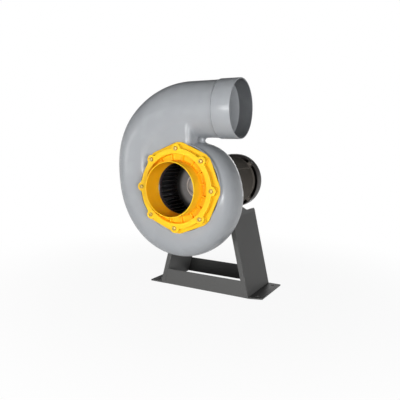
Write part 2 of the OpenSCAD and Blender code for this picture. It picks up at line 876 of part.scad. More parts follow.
module motor_shaft() {
  front_seat = front_bearing_front;
  rear_seat = rear_bearing_front;
  color(bright) on_axis() difference() {
    union() {
      bar(shaft_r - shaft_lead, shaft_end, shaft_end + shaft_lead);
      bar(shaft_r, shaft_end + shaft_lead, front_seat);
      bar(bearing_bore_r, front_seat, front_seat + bearing_w);
      bar(shaft_middle_r, front_seat + bearing_w, rear_seat);
      bar(bearing_bore_r, rear_seat, rear_seat + bearing_w);
      bar(fan_seat_r, rear_seat + bearing_w, shaft_back);
    }
    bar(m8_r + running, shaft_end - past, shaft_end + hub_bolt_len, small_fn);
    key_slot(running);
    ring(fan_seat_r + past, fan_seat_r - circlip_groove, circlip_front, circlip_back);
  }
}

// Deep-groove ball bearing: a ring with a round track cut in it
module track() {
  rotate_extrude($fn = round_fn) translate([ball_pitch_r, 0]) circle(r = ball_r + running, $fn = small_fn);
}
module bearing_outer(front) {
  on_axis() difference() {
    ring(bearing_r, bearing_r - race_wall, front, front + bearing_w);
    translate([0, 0, front + bearing_w / 2]) track();
  }
}
module bearing_inner(front) {
  on_axis() difference() {
    ring(bearing_bore_r + race_wall, bearing_bore_r + seat_gap, front, front + bearing_w);
    translate([0, 0, front + bearing_w / 2]) track();
  }
}
module bearing_balls(front) {
  middle = front + bearing_w / 2;
  on_axis() union() {
    ring(ball_pitch_r + cage_half_t, ball_pitch_r - cage_half_t, middle - cage_half_w, middle + cage_half_w);
    round_about(ball_count, ball_pitch_r) translate([0, 0, middle]) sphere(r = ball_r, $fn = small_fn);
  }
}
module front_bearing_outer() { color(bright) bearing_outer(front_bearing_front); }
module front_bearing_inner() { color(bright) bearing_inner(front_bearing_front); }
module front_bearing_balls() { color(bright) bearing_balls(front_bearing_front); }
module rear_bearing_outer() { color(bright) bearing_outer(rear_bearing_front); }
module rear_bearing_inner() { color(bright) bearing_inner(rear_bearing_front); }
module rear_bearing_balls() { color(bright) bearing_balls(rear_bearing_front); }

module rear_shield() {
  lap_r = motor_r - body_wall;
  pocket_r = bearing_r + seat_gap;
  pocket_out = bearing_r + bearing_pocket_wall;
  pocket_back = rear_bearing_front + bearing_w;
  lugs_end = rear_wall_back + cowl_lug_len;
  color(motor_brown) on_axis() difference() {
    union() {
      rotate_extrude($fn = round_fn) polygon([
        [lap_r - 6, body_back - lap], [lap_r, body_back - lap], [lap_r, body_back],
        [motor_r, body_back], [motor_r, rear_wall_back - 4], [motor_r - 4, rear_wall_back],
        [fan_seat_r + 1, rear_wall_back], [fan_seat_r + 1, pocket_back], [pocket_r, pocket_back],
        [pocket_r, rear_bearing_front], [pocket_out, rear_bearing_front],
        [pocket_out, rear_wall_back - 7], [lap_r - 8, rear_wall_back - 7]
      ]);
      round_about(4, 0, 45) translate([motor_r - lug_root, -cowl_lug_w / 2, rear_wall_back - lug_root])
        cube([cowl_lug_r - motor_r + lug_root, cowl_lug_w, cowl_lug_len + lug_root]);
    }
    round_about(4, tie_circle_r, tie_turn) {
      bar(tie_r + hole_gap, body_back - lap - past, rear_wall_back + past, small_fn);
      bar(m5_head_r + 2 * hole_gap, rear_wall_back - tie_sunk, lugs_end + past, small_fn);
    }
    at_cowl_screws() bar(m5_r + running, cowl_r - cowl_screw_len - past, cowl_r, small_fn);
  }
}

module tie_bolts() {
  color(bright) on_axis() round_about(4, tie_circle_r, tie_turn) {
    bar(tie_r, body_front - tie_thread, rear_wall_back - tie_sunk, small_fn);
    bar(m5_head_r, rear_wall_back - tie_sunk, rear_wall_back - tie_sunk + m5_head_h, 6);
  }
}

module cooling_fan() {
  blade_from = fan_seat_r + 4;
  disc_front = fan_front + fan_disc_at;
  color(dark_plastic) on_axis() difference() {
    union() {
      bar(fan_hub_r, fan_front, fan_front + fan_hub_len);
      bar(fan_disc_r, disc_front, disc_front + fan_disc_t);
      round_about(fan_blades, blade_from) translate([0, -fan_blade_t / 2, disc_front + fan_disc_t / 2])
        cube([fan_tip_r - blade_from, fan_blade_t, fan_blade_w]);
    }
    bar(fan_seat_r + running, fan_front - past, fan_front + fan_hub_len + past);
  }
}

module fan_circlip() {
  front = circlip_front + running;
  color(bright) on_axis() difference() {
    ring(fan_seat_r + circlip_w, fan_seat_r - circlip_groove + running, front, front + circlip_t);
    translate([0, -circlip_gap / 2, front - past])
      cube([fan_seat_r + circlip_w + past, circlip_gap, circlip_t + 2 * past]);
  }
}

// Moves to each cowl screw; z runs outwards from the axis
module at_cowl_screws() {
  round_about(4, 0, 45) translate([0, 0, cowl_front + cowl_screw_in]) rotate([0, 90, 0]) children();
}

// Cowl outline: a straight skirt, a rounded back edge and a flat back
function cowl_outline(inset) = concat(
  [[0, cowl_front - past * inset], [cowl_r - inset, cowl_front - past * inset]],
  [for (angle = [0 : 15 : 90])
    [cowl_r - cowl_round + (cowl_round - inset) * cos(angle),
     cowl_back - cowl_round + (cowl_round - inset) * sin(angle)]],
  [[0, cowl_back - inset]]
);

module fan_cowl() {
  color(cowl_grey) on_axis() difference() {
    rotate_extrude($fn = round_fn) polygon(cowl_outline(0));
    rotate_extrude($fn = round_fn) polygon(cowl_outline(cowl_t));
    difference() {
      for (i = [0 : grille_rings - 1])
        ring(grille_first_r + i * grille_pitch + grille_slot, grille_first_r + i * grille_pitch,
          cowl_back - 2 * cowl_t, cowl_back + past);
      round_about(cowl_spokes, 0)
        translate([0, -spoke_w / 2, cowl_back - 3 * cowl_t]) cube([cowl_r, spoke_w, 5 * cowl_t]);
    }
    at_cowl_screws() bar(m5_r + hole_gap, cowl_r - 2 * cowl_t, cowl_r + past, small_fn);
  }
}

module cowl_screws() {
  color(bright) on_axis() at_cowl_screws() {
    bar(m5_r, cowl_r - cowl_screw_len, cowl_r, small_fn);
    bar(m5_head_r, cowl_r, cowl_r + m5_head_h / 2, small_fn);
  }
}

// Moves to the terminal box: x runs out from the motor, y along it and z up
module at_box() {
  translate([0, box_middle - scroll_ahead, axis_h]) mirror([1, 0, 0]) children();
}
module box_block(out_from, out_to, length, height) {
  translate([out_from, -length / 2, -height / 2]) cube([out_to - out_from, length, height]);
}
// The four screw places of the lid
module box_corners() {
  for (side = [-1, 1], end = [-1, 1])
    translate([0, side * (box_len / 2 - corner_in), end * (box_h / 2 - corner_in)])
      rotate([0, 90, 0]) children();
}

module terminal_box() {
  color(motor_brown) at_box() difference() {
    union() {
      difference() {
        box_block(box_foot_r, box_face, box_len, box_h);
        box_block(motor_r + box_floor, box_face + past, box_len - 2 * box_wall, box_h - 2 * box_wall);
      }
      box_corners() bar(corner_boss_r, motor_r, box_face, small_fn);
    }
    rotate([-90, 0, 0]) bar(motor_r + running, -box_len, box_len);
    rotate([0, 90, 0]) bar(lead_hole_r, 0, motor_r + box_floor + past, small_fn);
    box_corners() bar(m5_r + running, box_face - lid_screw_len - past, box_face + past, small_fn);
    translate([gland_out, box_len / 2 + past, 0]) rotate([90, 0, 0])
      cylinder(r = gland_r + running, h = box_wall + 2 * past, $fn = small_fn);
  }
}

module terminal_box_lid() {
  color(motor_brown) at_box() difference() {
    union() {
      box_block(box_face, box_face + lid_t, box_len, box_h);
      box_block(box_face + lid_t - past, lid_top, box_len - 2 * lid_rib_in, box_h - 2 * lid_rib_in);
    }
    box_corners() bar(m5_r + hole_gap, box_face - past, lid_top + past, small_fn);
    box_corners() bar(m5_head_r + hole_gap, box_face + lid_seat, lid_top + past, small_fn);
  }
}

module terminal_box_screws() {
  color(bright) at_box() box_corners() {
    bar(m5_r, box_face - lid_screw_len, box_face + lid_seat, small_fn);
    bar(m5_head_r, box_face + lid_seat, box_face + lid_seat + m5_head_h, small_fn);
  }
}

module terminal_block() {
  foot = motor_r + box_floor;
  color(dark_plastic) at_box() translate([0, 0, block_up]) {
    box_block(foot, foot + block_t, block_len, block_w);
    for (i = [-1, 0, 1]) translate([0, i * block_pitch, 0]) rotate([0, 90, 0])
      bar(m5_r, foot + block_t - past, foot + 2 * block_t - past, small_fn);
  }
}

// Moves to the gland on the box's back end; z runs into the box
module at_gland() {
  at_box() translate([gland_out, box_len / 2, 0]) rotate([90, 0, 0]) children();
}

module cable_gland() {
  color(dark_plastic) at_gland() difference() {
    union() {
      bar(gland_hex_r, -gland_hex_t, 0, 6);
      bar(gland_r, -gland_hex_t, gland_inside, small_fn);
      bar(gland_dome_r, -gland_len, -gland_hex_t, small_fn);
    }
    bar(gland_bore_r, -gland_len - past, gland_inside + past, small_fn);
  }
}
module gland_nut() {
  color(dark_plastic) at_gland() difference() {
    bar(gland_hex_r, box_wall, box_wall + gland_nut_t, 6);
    bar(gland_r + running, box_wall - past, box_wall + gland_nut_t + past, small_fn);
  }
}

// Stand, seen from the front: x across, z up
function leg_x(z) = z > bend_h ? lip_x : foot_x - (z - sheet_t) * leg_lean;
function leg_face(inset) =
  [[foot_x - inset, sheet_t], [lip_x - inset, bend_h], [lip_x - inset, leg_front_h]];
module leg_sheet(thickness) {
  polygon(concat([[foot_x, 0]], leg_face(0), reversed(leg_face(thickness)), [[foot_x - thickness, 0]]));
}

// Extrudes an outline drawn in x and z between two depths
module upright(front, back) {
  translate([0, back - scroll_ahead, 0]) rotate([90, 0, 0]) linear_extrude(back - front) children();
}

// A leg folded from one sheet: foot, slanted side, upright lip and front fold
module leg() {
  rise_len = (leg_front_h - leg_back_h) / lip_slope;
  half_d = base_d / 2;
  difference() {
    intersection() {
      union() {
        upright(fold_front, base_back) leg_sheet(sheet_t);
        upright(fold_front, plate_front) leg_sheet(fold_w);
        translate([foot_x - sheet_t, -half_d, 0]) cube([base_w / 2 - foot_x + sheet_t, base_d, sheet_t]);
      }
      rotate([90, 0, 90]) linear_extrude(base_w) polygon([
        [-half_d - past, 0], [half_d + past, 0], [half_d + past, leg_back_h - lip_corner - past],
        [half_d - lip_corner, leg_back_h], [half_d - lip_flat, leg_back_h],
        [half_d - lip_flat - rise_len, leg_front_h], [-half_d - past, leg_front_h]
      ]);
    }
    for (end = [-1, 1])
      translate([base_w / 2 - fixing_in, end * (half_d - fixing_end), -past])
        cylinder(r = fixing_r, h = sheet_t + 2 * past, $fn = small_fn);
  }
}

module left_leg() { color(steel_grey) mirror([1, 0, 0]) leg(); }
module right_leg() {
  outer = base_w / 2 + past;
  front = -base_d / 2 - past;
  color(steel_grey) difference() {
    leg();
    translate([0, 0, -past]) linear_extrude(sheet_t + 2 * past)
      polygon([[foot_x + past, front], [outer, front], [outer, corner_cut - base_d / 2]]);
  }
}

// A cross brace between the legs; its ends are set in from their outer faces
module brace(inset) {
  polygon([
    [inset - foot_x, 0], [foot_x - inset, 0], [foot_x - inset, sheet_t], [leg_x(brace_h) - inset, brace_h],
    [inset - leg_x(brace_h), brace_h], [inset - foot_x, sheet_t]
  ]);
}
module front_brace() { color(steel_grey) upright(fold_front, plate_front) brace(fold_w + seat_gap); }
module rear_brace() { color(steel_grey) upright(base_back - sheet_t, base_back) brace(sheet_t + seat_gap); }

module motor_plate() {
  low_x = leg_x(plate_low) - sheet_t - seat_gap;
  bend_x = lip_x - sheet_t - seat_gap;
  color(steel_grey) difference() {
    upright(plate_front, plate_back) {
      polygon([
        [-low_x, plate_low], [low_x, plate_low], [bend_x, bend_h], [bend_x, leg_front_h],
        [-bend_x, leg_front_h], [-bend_x, bend_h]
      ]);
      intersection() {
        translate([0, axis_h]) circle(r = plate_r, $fn = round_fn);
        translate([-plate_r, leg_front_h + side_gap]) square([2 * plate_r, 2 * plate_r]);
      }
      translate([-bend_x, leg_front_h - past]) square([2 * bend_x, axis_h - leg_front_h]);
    }
    on_axis() {
      bar(face_spigot_r + running, plate_front - past, plate_back + past);
      for (circle_r = [motor_bolt_circle_r, boss_circle_r])
        round_about(boss_count, circle_r, boss_turn)
          bar(m8_r + wide_gap, plate_front - past, plate_back + past, small_fn);
    }
  }
}

left_leg();
right_leg();
front_brace();
rear_brace();
motor_plate();
volute_housing();
outlet_socket();
front_inserts();
back_inserts();
housing_bolts();
back_cover();
back_cover_screws();
shaft_seal();
inlet_ring();
inlet_gasket();
inlet_screws();
impeller_backplate();
impeller_blades();
impeller_front_ring();
hub_cap();
hub_washer();
hub_bolt();
impeller_key();
slinger();
front_shield();
rear_shield();
stator_housing();
stator_core();
stator_windings();
rotor_core();
rotor_end_rings();
motor_shaft();
front_bearing_outer();
front_bearing_inner();
front_bearing_balls();
rear_bearing_outer();
rear_bearing_inner();
rear_bearing_balls();
motor_bolts();
tie_bolts();
cooling_fan();
fan_circlip();
fan_cowl();
cowl_screws();
terminal_box();
terminal_box_lid();
terminal_box_screws();
terminal_block();
cable_gland();
gland_nut();
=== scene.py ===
import json
import math

import bmesh
import bpy
from mathutils import Matrix, Vector


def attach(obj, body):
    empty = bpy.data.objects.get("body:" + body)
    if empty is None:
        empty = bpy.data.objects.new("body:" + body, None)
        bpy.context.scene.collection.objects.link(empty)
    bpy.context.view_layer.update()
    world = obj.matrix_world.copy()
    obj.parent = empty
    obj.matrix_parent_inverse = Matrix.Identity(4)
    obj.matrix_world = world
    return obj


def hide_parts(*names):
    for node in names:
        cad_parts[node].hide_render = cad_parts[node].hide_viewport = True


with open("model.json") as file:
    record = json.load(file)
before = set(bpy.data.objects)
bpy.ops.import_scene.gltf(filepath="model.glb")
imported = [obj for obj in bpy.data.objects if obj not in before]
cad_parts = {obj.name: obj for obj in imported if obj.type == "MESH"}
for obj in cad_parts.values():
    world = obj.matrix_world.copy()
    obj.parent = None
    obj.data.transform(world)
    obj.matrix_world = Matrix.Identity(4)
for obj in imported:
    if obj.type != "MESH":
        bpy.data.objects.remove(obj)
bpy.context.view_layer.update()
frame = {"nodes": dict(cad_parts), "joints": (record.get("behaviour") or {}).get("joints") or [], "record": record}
nodes = frame["nodes"]
spin = frame["joints"][0]
fanAxis = Vector(spin["pos_m"])     # where the fan's axis meets the scroll's middle plane
print("frame loaded,", len(nodes), "nodes")


# Shader maths: a Signal is a node's output, and sums with it add Math nodes
class Signal:
    def __init__(self, finish, socket):
        self.finish = finish
        self.socket = socket

    def _maths(self, operation, first, second=None):
        values = {0: first} if second is None else {0: first, 1: second}
        return self.finish.node("ShaderNodeMath", {"operation": operation}, values)

    def __add__(self, other):
        return self._maths("ADD", self, other)

    def __radd__(self, other):
        return self._maths("ADD", other, self)

    def __sub__(self, other):
        return self._maths("SUBTRACT", self, other)

    def __rsub__(self, other):
        return self._maths("SUBTRACT", other, self)

    def __mul__(self, other):
        return self._maths("MULTIPLY", self, other)

    def __rmul__(self, other):
        return self._maths("MULTIPLY", other, self)

    def __truediv__(self, other):
        return self._maths("DIVIDE", self, other)

    def __rtruediv__(self, other):
        return self._maths("DIVIDE", other, self)

    def __pow__(self, other):
        return self._maths("POWER", self, other)

    def sine(self):
        return self._maths("SINE", self)

    def clamped(self):
        return self.finish.node("ShaderNodeClamp", {}, {"Value": self})


# One material, with a Principled shader whose uniform values are set on its own sockets
class Finish:
    def __init__(self, name, **sockets):
        self.material = bpy.data.materials.new(name)
        self.material.use_nodes = True
        self.tree = self.material.node_tree
        self.tree.nodes.clear()
        self.output = self.tree.nodes.new("ShaderNodeOutputMaterial")
        self.shader = self.tree.nodes.new("ShaderNodeBsdfPrincipled")
        self.tree.links.new(self.shader.outputs[0], self.output.inputs["Surface"])
        for key, value in sockets.items():
            self.feed(key, value)
        self.place = self.node("ShaderNodeTexCoord", {}, {}, "Object")

    def put(self, socket, value):
        if isinstance(value, Signal):
            self.tree.links.new(value.socket, socket)
        elif hasattr(value, "__len__") and len(value) == 3 and len(socket.default_value) == 4:
            socket.default_value = (*value, 1)
        else:
            socket.default_value = value

    def feed(self, key, value):
        self.put(self.shader.inputs[key.replace("_", " ")], value)

    def node(self, kind, settings, sockets, out=0):
        made = self.tree.nodes.new(kind)
        for key, value in settings.items():
            setattr(made, key, value)
        for key, value in sockets.items():
            self.put(made.inputs[key], value)
        return Signal(self, made.outputs[out])

    # Noise from 0 to 1, with a grain size in metres, stretched by the scale's three parts
    def noise(self, grain, detail=3, stretch=(1, 1, 1), warp=0):
        where = self.node("ShaderNodeMapping", {}, {"Vector": self.place, "Scale": stretch})
        sockets = {"Vector": where, "Scale": 1 / grain, "Detail": detail, "Distortion": warp}
        return self.node("ShaderNodeTexNoise", {}, {**sockets, "Roughness": 0.55}, "Fac")

    def step(self, value, low, high):
        return self.node("ShaderNodeMapRange", {"interpolation_type": "SMOOTHSTEP"},
                         {"Value": value, "From Min": low, "From Max": high})

    def blend(self, mask, first, second):
        settings = {"data_type": "RGBA", "blend_type": "MIX"}
        return self.node("ShaderNodeMix", settings, {0: mask, 6: first, 7: second}, 2)

    def relief(self, height, depth):
        return self.node("ShaderNodeBump", {}, {"Height": height, "Distance": depth, "Strength": 1})

    # 0 inside hollows, about 0.5 on flats and 1 on convex edges
    def edges(self):
        return self.node("ShaderNodeNewGeometry", {}, {}, "Pointiness")

    def axes(self):
        parts = self.tree.nodes.new("ShaderNodeSeparateXYZ")
        self.tree.links.new(self.place.socket, parts.inputs[0])
        return [Signal(self, parts.outputs[i]) for i in range(3)]

    def aboutAxis(self):   # distance from the fan's axis, and the place along it
        x, y, z = self.axes()
        across, up = x - fanAxis.x, z - fanAxis.z
        return (across * across + up * up) ** 0.5, y


def tone(colour, factor):
    return tuple(min(1, c * factor) for c in colour)


# Moulded grey plastic of the casing: fine orange peel, soft clouding and faint dark specks
casingLook = {
    "colour": (0.346, 0.361, 0.380), "roughness": 0.27, "clouding": 0.04, "cloudGrain": 0.09,
    "peelDepth": 0.00006, "peelGrain": 0.0035, "fineGrain": 0.0007,
    "speckGrain": 0.0016, "speckShare": 0.18, "speckTone": 0.72,
    "boreFrom": 0.1130, "boreRadius": 0.0812, "boreRise": 0.226, "boreShadeTone": 0.36,
    "boreFade": 0.0006, "boreEdge": 0.0004,
}


def casingPlastic():   # painted shade: the socket's bore is made darker, only because the photo shows it so
    look = casingLook
    colour = look["colour"]
    finish = Finish("mouldedGrey", IOR=1.36)
    clouds = finish.noise(look["cloudGrain"], 2)
    peel = finish.noise(look["peelGrain"], 2)
    fine = finish.noise(look["fineGrain"], 2)
    base = finish.blend(clouds, tone(colour, 1 - look["clouding"]), tone(colour, 1 + look["clouding"]))
    specks = finish.step(finish.noise(look["speckGrain"], 1), 0.68, 0.74)
    base = finish.blend(specks * look["speckShare"], base, tone(colour, look["speckTone"]))
    x, y, z = finish.axes()
    across, up = y - fanAxis.y, z - fanAxis.z - look["boreRise"]
    radius = (across * across + up * up) ** 0.5
    # painted shade: the socket's bore is darkened, standing in for the shade inside it
    bore = finish.step(x, look["boreFrom"] - look["boreFade"], look["boreFrom"] + look["boreFade"])
    bore = bore * (1 - finish.step(radius, look["boreRadius"] - look["boreEdge"], look["boreRadius"]))
    base = finish.blend(bore, base, tone(colour, look["boreShadeTone"]))
    finish.feed("Base Color", base)
    finish.feed("Roughness", look["roughness"] + (clouds - 0.5) * 0.10 + (fine - 0.5) * 0.06)
    finish.feed("Normal", finish.relief(peel + fine * 0.35, look["peelDepth"]))
    return finish.material


# Yellow moulded plastic of the inlet ring
ringLook = {
    "colour": (0.97, 0.585, 0.022), "deep": (0.99, 0.44, 0.001), "roughness": 0.36,
    "peelDepth": 0.00005, "peelGrain": 0.0028, "cloudGrain": 0.05,
    "glow": 0.15, "glowReach": (1.0, 0.40, 0.03), "glowScale": 0.012,
    "boreRadius": 0.0768, "recessFrom": 0.0792, "recessTo": 0.0992, "edge": 0.0008,
    "recessDepth": -0.0962, "tierFrom": 0.1, "tierTo": 0.101, "tierDepth": -0.0955, "depthFade": 0.006,
    "cloudShare": 0.2, "hollowShadeShare": 0.3, "boreShadeShare": 0.8, "recessShadeShare": 0.5, "tierShadeShare": 0.12,
}


def ringPlastic():   # painted shade: the colour deepens to orange in hollows, in the bore, in the recess and on the back tier; clouding also deepens it at random
    look = ringLook
    finish = Finish("mouldedYellow", IOR=1.25, Subsurface_Weight=look["glow"],
                    Subsurface_Radius=look["glowReach"], Subsurface_Scale=look["glowScale"])
    clouds = finish.noise(look["cloudGrain"], 2)
    peel = finish.noise(look["peelGrain"], 2)
    hollows = 1 - finish.step(finish.edges(), 0.40, 0.50)
    radius, y = finish.aboutAxis()
    depth, edge, fade = y - fanAxis.y, look["edge"], look["depthFade"]
    bore = 1 - finish.step(radius, look["boreRadius"] - edge, look["boreRadius"])
    recess = finish.step(radius, look["recessFrom"] - edge, look["recessFrom"])
    recess = recess * (1 - finish.step(radius, look["recessTo"], look["recessTo"] + edge))
    recess = recess * finish.step(depth, look["recessDepth"], look["recessDepth"] + fade)
    tier = finish.step(radius, look["tierFrom"], look["tierTo"])
    tier = tier * finish.step(depth, look["tierDepth"], look["tierDepth"] + fade)
    # painted shade: hollows, bore, recess and back tier take the deeper orange as shade, added to the random
    # clouding
    share = (clouds - 0.35).clamped() * look["cloudShare"] + hollows * look["hollowShadeShare"]
    share = share + bore * look["boreShadeShare"] + recess * look["recessShadeShare"] + tier * look["tierShadeShare"]
    base = finish.blend(share.clamped(), look["colour"], look["deep"])
    finish.feed("Base Color", base)
    finish.feed("Roughness", look["roughness"] + (clouds - 0.5) * 0.12)
    finish.feed("Normal", finish.relief(peel, look["peelDepth"]))
    return finish.material


# Black filled plastic of the wheel, the cooling fan, the cable gland and the terminal block
plasticLook = {
    "cloudGrain": 0.02, "flowGrain": 0.004, "flowStretch": (1, 0.12, 1), "fineGrain": 0.0009,
    "deep": 0.75, "pale": 1.5, "depth": 0.00008,
}


def blackPlastic(name, colour, roughness):
    look = plasticLook
    finish = Finish(name, IOR=1.5)
    clouds = finish.noise(look["cloudGrain"])
    flow = finish.noise(look["flowGrain"], stretch=look["flowStretch"])
    base = finish.blend(clouds * 0.6 + flow * 0.4, tone(colour, look["deep"]), tone(colour, look["pale"]))
    finish.feed("Base Color", base)
    finish.feed("Roughness", roughness + (flow - 0.5) * 0.2)
    finish.feed("Normal", finish.relief(flow + finish.noise(look["fineGrain"], 2) * 0.5, look["depth"]))
    return finish.material


# Powder coat on sheet steel: close orange peel, faint scuffs, and edges where the coat lies thin
coatLook = {
    "cloudGrain": 0.15, "deep": 0.96, "pale": 1.04, "depth": 0.00005,
    "scuffGrain": 0.006, "scuffStretch": (1, 1, 9), "scuffShare": 0.06, "scuffTone": 1.5,
    "edge": 0.0012, "edgeGrain": 0.004, "bare": (0.30, 0.30, 0.30),
}


def powderCoat(name, colour, roughness, peel=0.0016, wear=0.25):
    look = coatLook
    finish = Finish(name, IOR=1.3)
    clouds = finish.noise(look["cloudGrain"], 2)
    grain = finish.noise(peel)
    scuffs = finish.noise(look["scuffGrain"], 4, stretch=look["scuffStretch"], warp=0.4)
    scuffs = finish.step(scuffs, 0.68, 0.76)
    soft = finish.node("ShaderNodeBevel", {"samples": 4}, {"Radius": look["edge"]})
    true = finish.node("ShaderNodeNewGeometry", {}, {}, "Normal")
    along = finish.node("ShaderNodeVectorMath", {"operation": "DOT_PRODUCT"}, {0: soft, 1: true}, "Value")
    thin = finish.step(1 - along, 0.02, 0.16) * finish.step(finish.noise(look["edgeGrain"], 4), 0.35, 0.6)
    base = finish.blend(clouds, tone(colour, look["deep"]), tone(colour, look["pale"]))
    base = finish.blend(scuffs * look["scuffShare"], base, tone(colour, look["scuffTone"]))
    base = finish.blend(thin * wear, base, look["bare"])
    finish.feed("Base Color", base)
    finish.feed("Roughness", roughness + (clouds - 0.5) * 0.12 - thin * 0.08)
    finish.feed("Normal", finish.relief(grain, look["depth"]))
    return finish.material


# Bare metal with turning or rolling marks along one direction
metalLook = {"cloudGrain": 0.012, "pale": 1.08, "markShare": 0.35, "markTone": 0.7, "depth": 0.00004}


def bareMetal(name, colour, roughness, stretch, grain=0.004, stain=0.25):
    look = metalLook
    finish = Finish(name, Metallic=1.0)
    marks = finish.noise(grain, 4, stretch=stretch)
    clouds = finish.noise(look["cloudGrain"])
    base = finish.blend(clouds, tone(colour, 1 - stain), tone(colour, look["pale"]))
    finish.feed("Base Color", finish.blend(marks * look["markShare"], base, tone(colour, look["markTone"])))
    finish.feed("Roughness", roughness + (marks - 0.5) * 0.25 + (clouds - 0.5) * 0.15)
    finish.feed("Normal", finish.relief(marks, look["depth"]))
    return finish.material


# Spun aluminium of the hub cap, with rings about the fan's axis
spunLook = {
    "colour": (0.76, 0.71, 0.67), "deep": 0.8, "roughness": 0.27,
    "pitch": 0.0012, "strayGrain": 0.01, "stray": 2, "cloudGrain": 0.02, "depth": 0.00002,
}


def spunMetal():
    look = spunLook
    finish = Finish("spunAluminium", Metallic=0.3)
    stray = finish.noise(look["strayGrain"], 2) * look["stray"]
    rings = (finish.aboutAxis()[0] * (2 * math.pi / look["pitch"]) + stray).sine() * 0.5 + 0.5
    clouds = finish.noise(look["cloudGrain"])
    finish.feed("Base Color", finish.blend(clouds, tone(look["colour"], look["deep"]), look["colour"]))
    finish.feed("Roughness", look["roughness"] + rings * 0.08 + (clouds - 0.5) * 0.14)
    finish.feed("Normal", finish.relief(rings, look["depth"]))
    return finish.material


# Stacked steel laminations along the axis
laminationLook = {
    "pitch": 0.0007, "depth": 0.00015, "dark": (0.09, 0.09, 0.10), "light": (0.30, 0.31, 0.33),
}


def laminations():
    look = laminationLook
    finish = Finish("laminatedSteel", Metallic=0.8)
    y = finish.axes()[1]
    leaves = (y * (2 * math.pi / look["pitch"])).sine() * 0.5 + 0.5
    finish.feed("Base Color", finish.blend(leaves, look["dark"], look["light"]))
    finish.feed("Roughness", 0.38 + leaves * 0.15)
    finish.feed("Normal", finish.relief(leaves, look["depth"]))
    return finish.material


# Enamelled copper wire laid round the axis
wireLook = {
    "pitch": 0.0011, "rise": 900, "strayGrain": 0.006, "stray": 4, "depth": 0.0003,
    "dark": (0.22, 0.07, 0.02), "light": (0.72, 0.33, 0.13),
}


def copperWire():
    look = wireLook
    finish = Finish("enamelledCopper", Metallic=0.7)
    radius, y = finish.aboutAxis()
    stray = finish.noise(look["strayGrain"]) * look["stray"]
    wires = (radius * (2 * math.pi / look["pitch"]) + y * look["rise"] + stray).sine() * 0.5 + 0.5
    finish.feed("Base Color", finish.blend(wires, look["dark"], look["light"]))
    finish.feed("Roughness", 0.25 + wires * 0.1)
    finish.feed("Normal", finish.relief(wires, look["depth"]))
    return finish.material


# The wheel's back plate: grey between the hub and the blades; black beyond as painted shade under the blades, and
# a narrow black ring round the hub as a painted shadow in the gap round the cap
plateLook = {
    "grey": (0.250, 0.246, 0.243), "shadeBlack": (0.016, 0.015, 0.015),
    "greyTo": 0.058, "shadeFrom": 0.074, "hubShadowEdge": 0.0415, "hubShadowFade": 0.0015,
    "cloudGrain": 0.012, "flowGrain": 0.003, "flowStretch": (1, 0.2, 1), "depth": 0.00008,
}


def wheelPlate():
    look = plateLook
    finish = Finish("wheelPlate", IOR=1.4)
    radius = finish.aboutAxis()[0]
    clouds = finish.noise(look["cloudGrain"])
    flow = finish.noise(look["flowGrain"], stretch=look["flowStretch"])
    grey = finish.blend(clouds, tone(look["grey"], 0.85), tone(look["grey"], 1.15))
    dark = finish.blend(flow, tone(look["shadeBlack"], 0.7), tone(look["shadeBlack"], 1.4))
    # painted shade beyond the blades' foot, and a painted shadow in a narrow ring round the hub cap
    outer = finish.step(radius, look["greyTo"], look["shadeFrom"])
    inner = 1 - finish.step(radius, look["hubShadowEdge"], look["hubShadowEdge"] + look["hubShadowFade"])
    finish.feed("Base Color", finish.blend((outer + inner).clamped(), grey, dark))
    finish.feed("Roughness", 0.42 + (flow - 0.5) * 0.2)
    finish.feed("Normal", finish.relief(flow, look["depth"]))
    return finish.material


# Rubber of the gasket, the shaft seal and the slinger, with a grey bloom in places
rubberLook = {
    "dark": (0.012, 0.012, 0.012), "light": (0.032, 0.032, 0.033), "roughness": 0.62,
    "grain": 0.0012, "bloomGrain": 0.015, "depth": 0.0001,
}


def rubberSkin():
    look = rubberLook
    finish = Finish("blackRubber", IOR=1.5)
    bloom = finish.noise(look["bloomGrain"])
    finish.feed("Base Color", finish.blend(bloom, look["dark"], look["light"]))
    finish.feed("Roughness", look["roughness"] + (bloom - 0.5) * 0.2)
    finish.feed("Normal", finish.relief(finish.noise(look["grain"]), look["depth"]))
    return finish.material


finishes = {
    "casing_grey": casingPlastic(),
    "inlet_yellow": ringPlastic(),
    "black_plastic": blackPlastic("blackPlastic", (0.018, 0.018, 0.02), 0.42),
    "stand_paint": powderCoat("standPaint", (0.094, 0.094, 0.092), 0.52),
    "motor_paint": powderCoat("motorPaint", (0.165, 0.147, 0.128), 0.42, 0.0012, 0.04),
    "cowl_paint": powderCoat("cowlPaint", (0.074, 0.067, 0.063), 0.42, 0.0012, 0.12),
    "wheel_plate": wheelPlate(),
    "wheel_ring": blackPlastic("wheelRing", (0.026, 0.023, 0.027), 0.26),
    # painted shade: a much darker copy of the stand's paint, for the rear brace in the shade of the scroll
    "stand_painted_shade": powderCoat("standPaintedShade", (0.030, 0.030, 0.029), 0.52),
    "yellow_zinc": bareMetal("yellowZinc", (0.56, 0.40, 0.12), 0.42, (4, 4, 4), 0.003, 0.35),
    "steel": bareMetal("turnedSteel", (0.52, 0.53, 0.55), 0.24, (18, 1, 18)),
    "zinc": bareMetal("zincPlate", (0.42, 0.43, 0.44), 0.34, (4, 4, 4), 0.003, 0.35),
    "cap_metal": spunMetal(),
    "lamination": laminations(),
    "cast_aluminium": bareMetal("castAluminium", (0.58, 0.59, 0.60), 0.45, (2, 2, 2), 0.002, 0.2),
    "copper": copperWire(),
    "brass": bareMetal("turnedBrass", (0.62, 0.45, 0.16), 0.3, (1, 18, 1)),
    "rubber": rubberSkin(),
}
slotOf = {part["node"]: part["material_slot"] for part in frame["record"]["subparts"]}


def dress(piece, slot):
    piece.data.materials.clear()
    piece.data.materials.append(finishes[slot])


for name, piece in nodes.items():
    dress(piece, slotOf[name])
dress(nodes["impeller_backplate"], "wheel_plate")
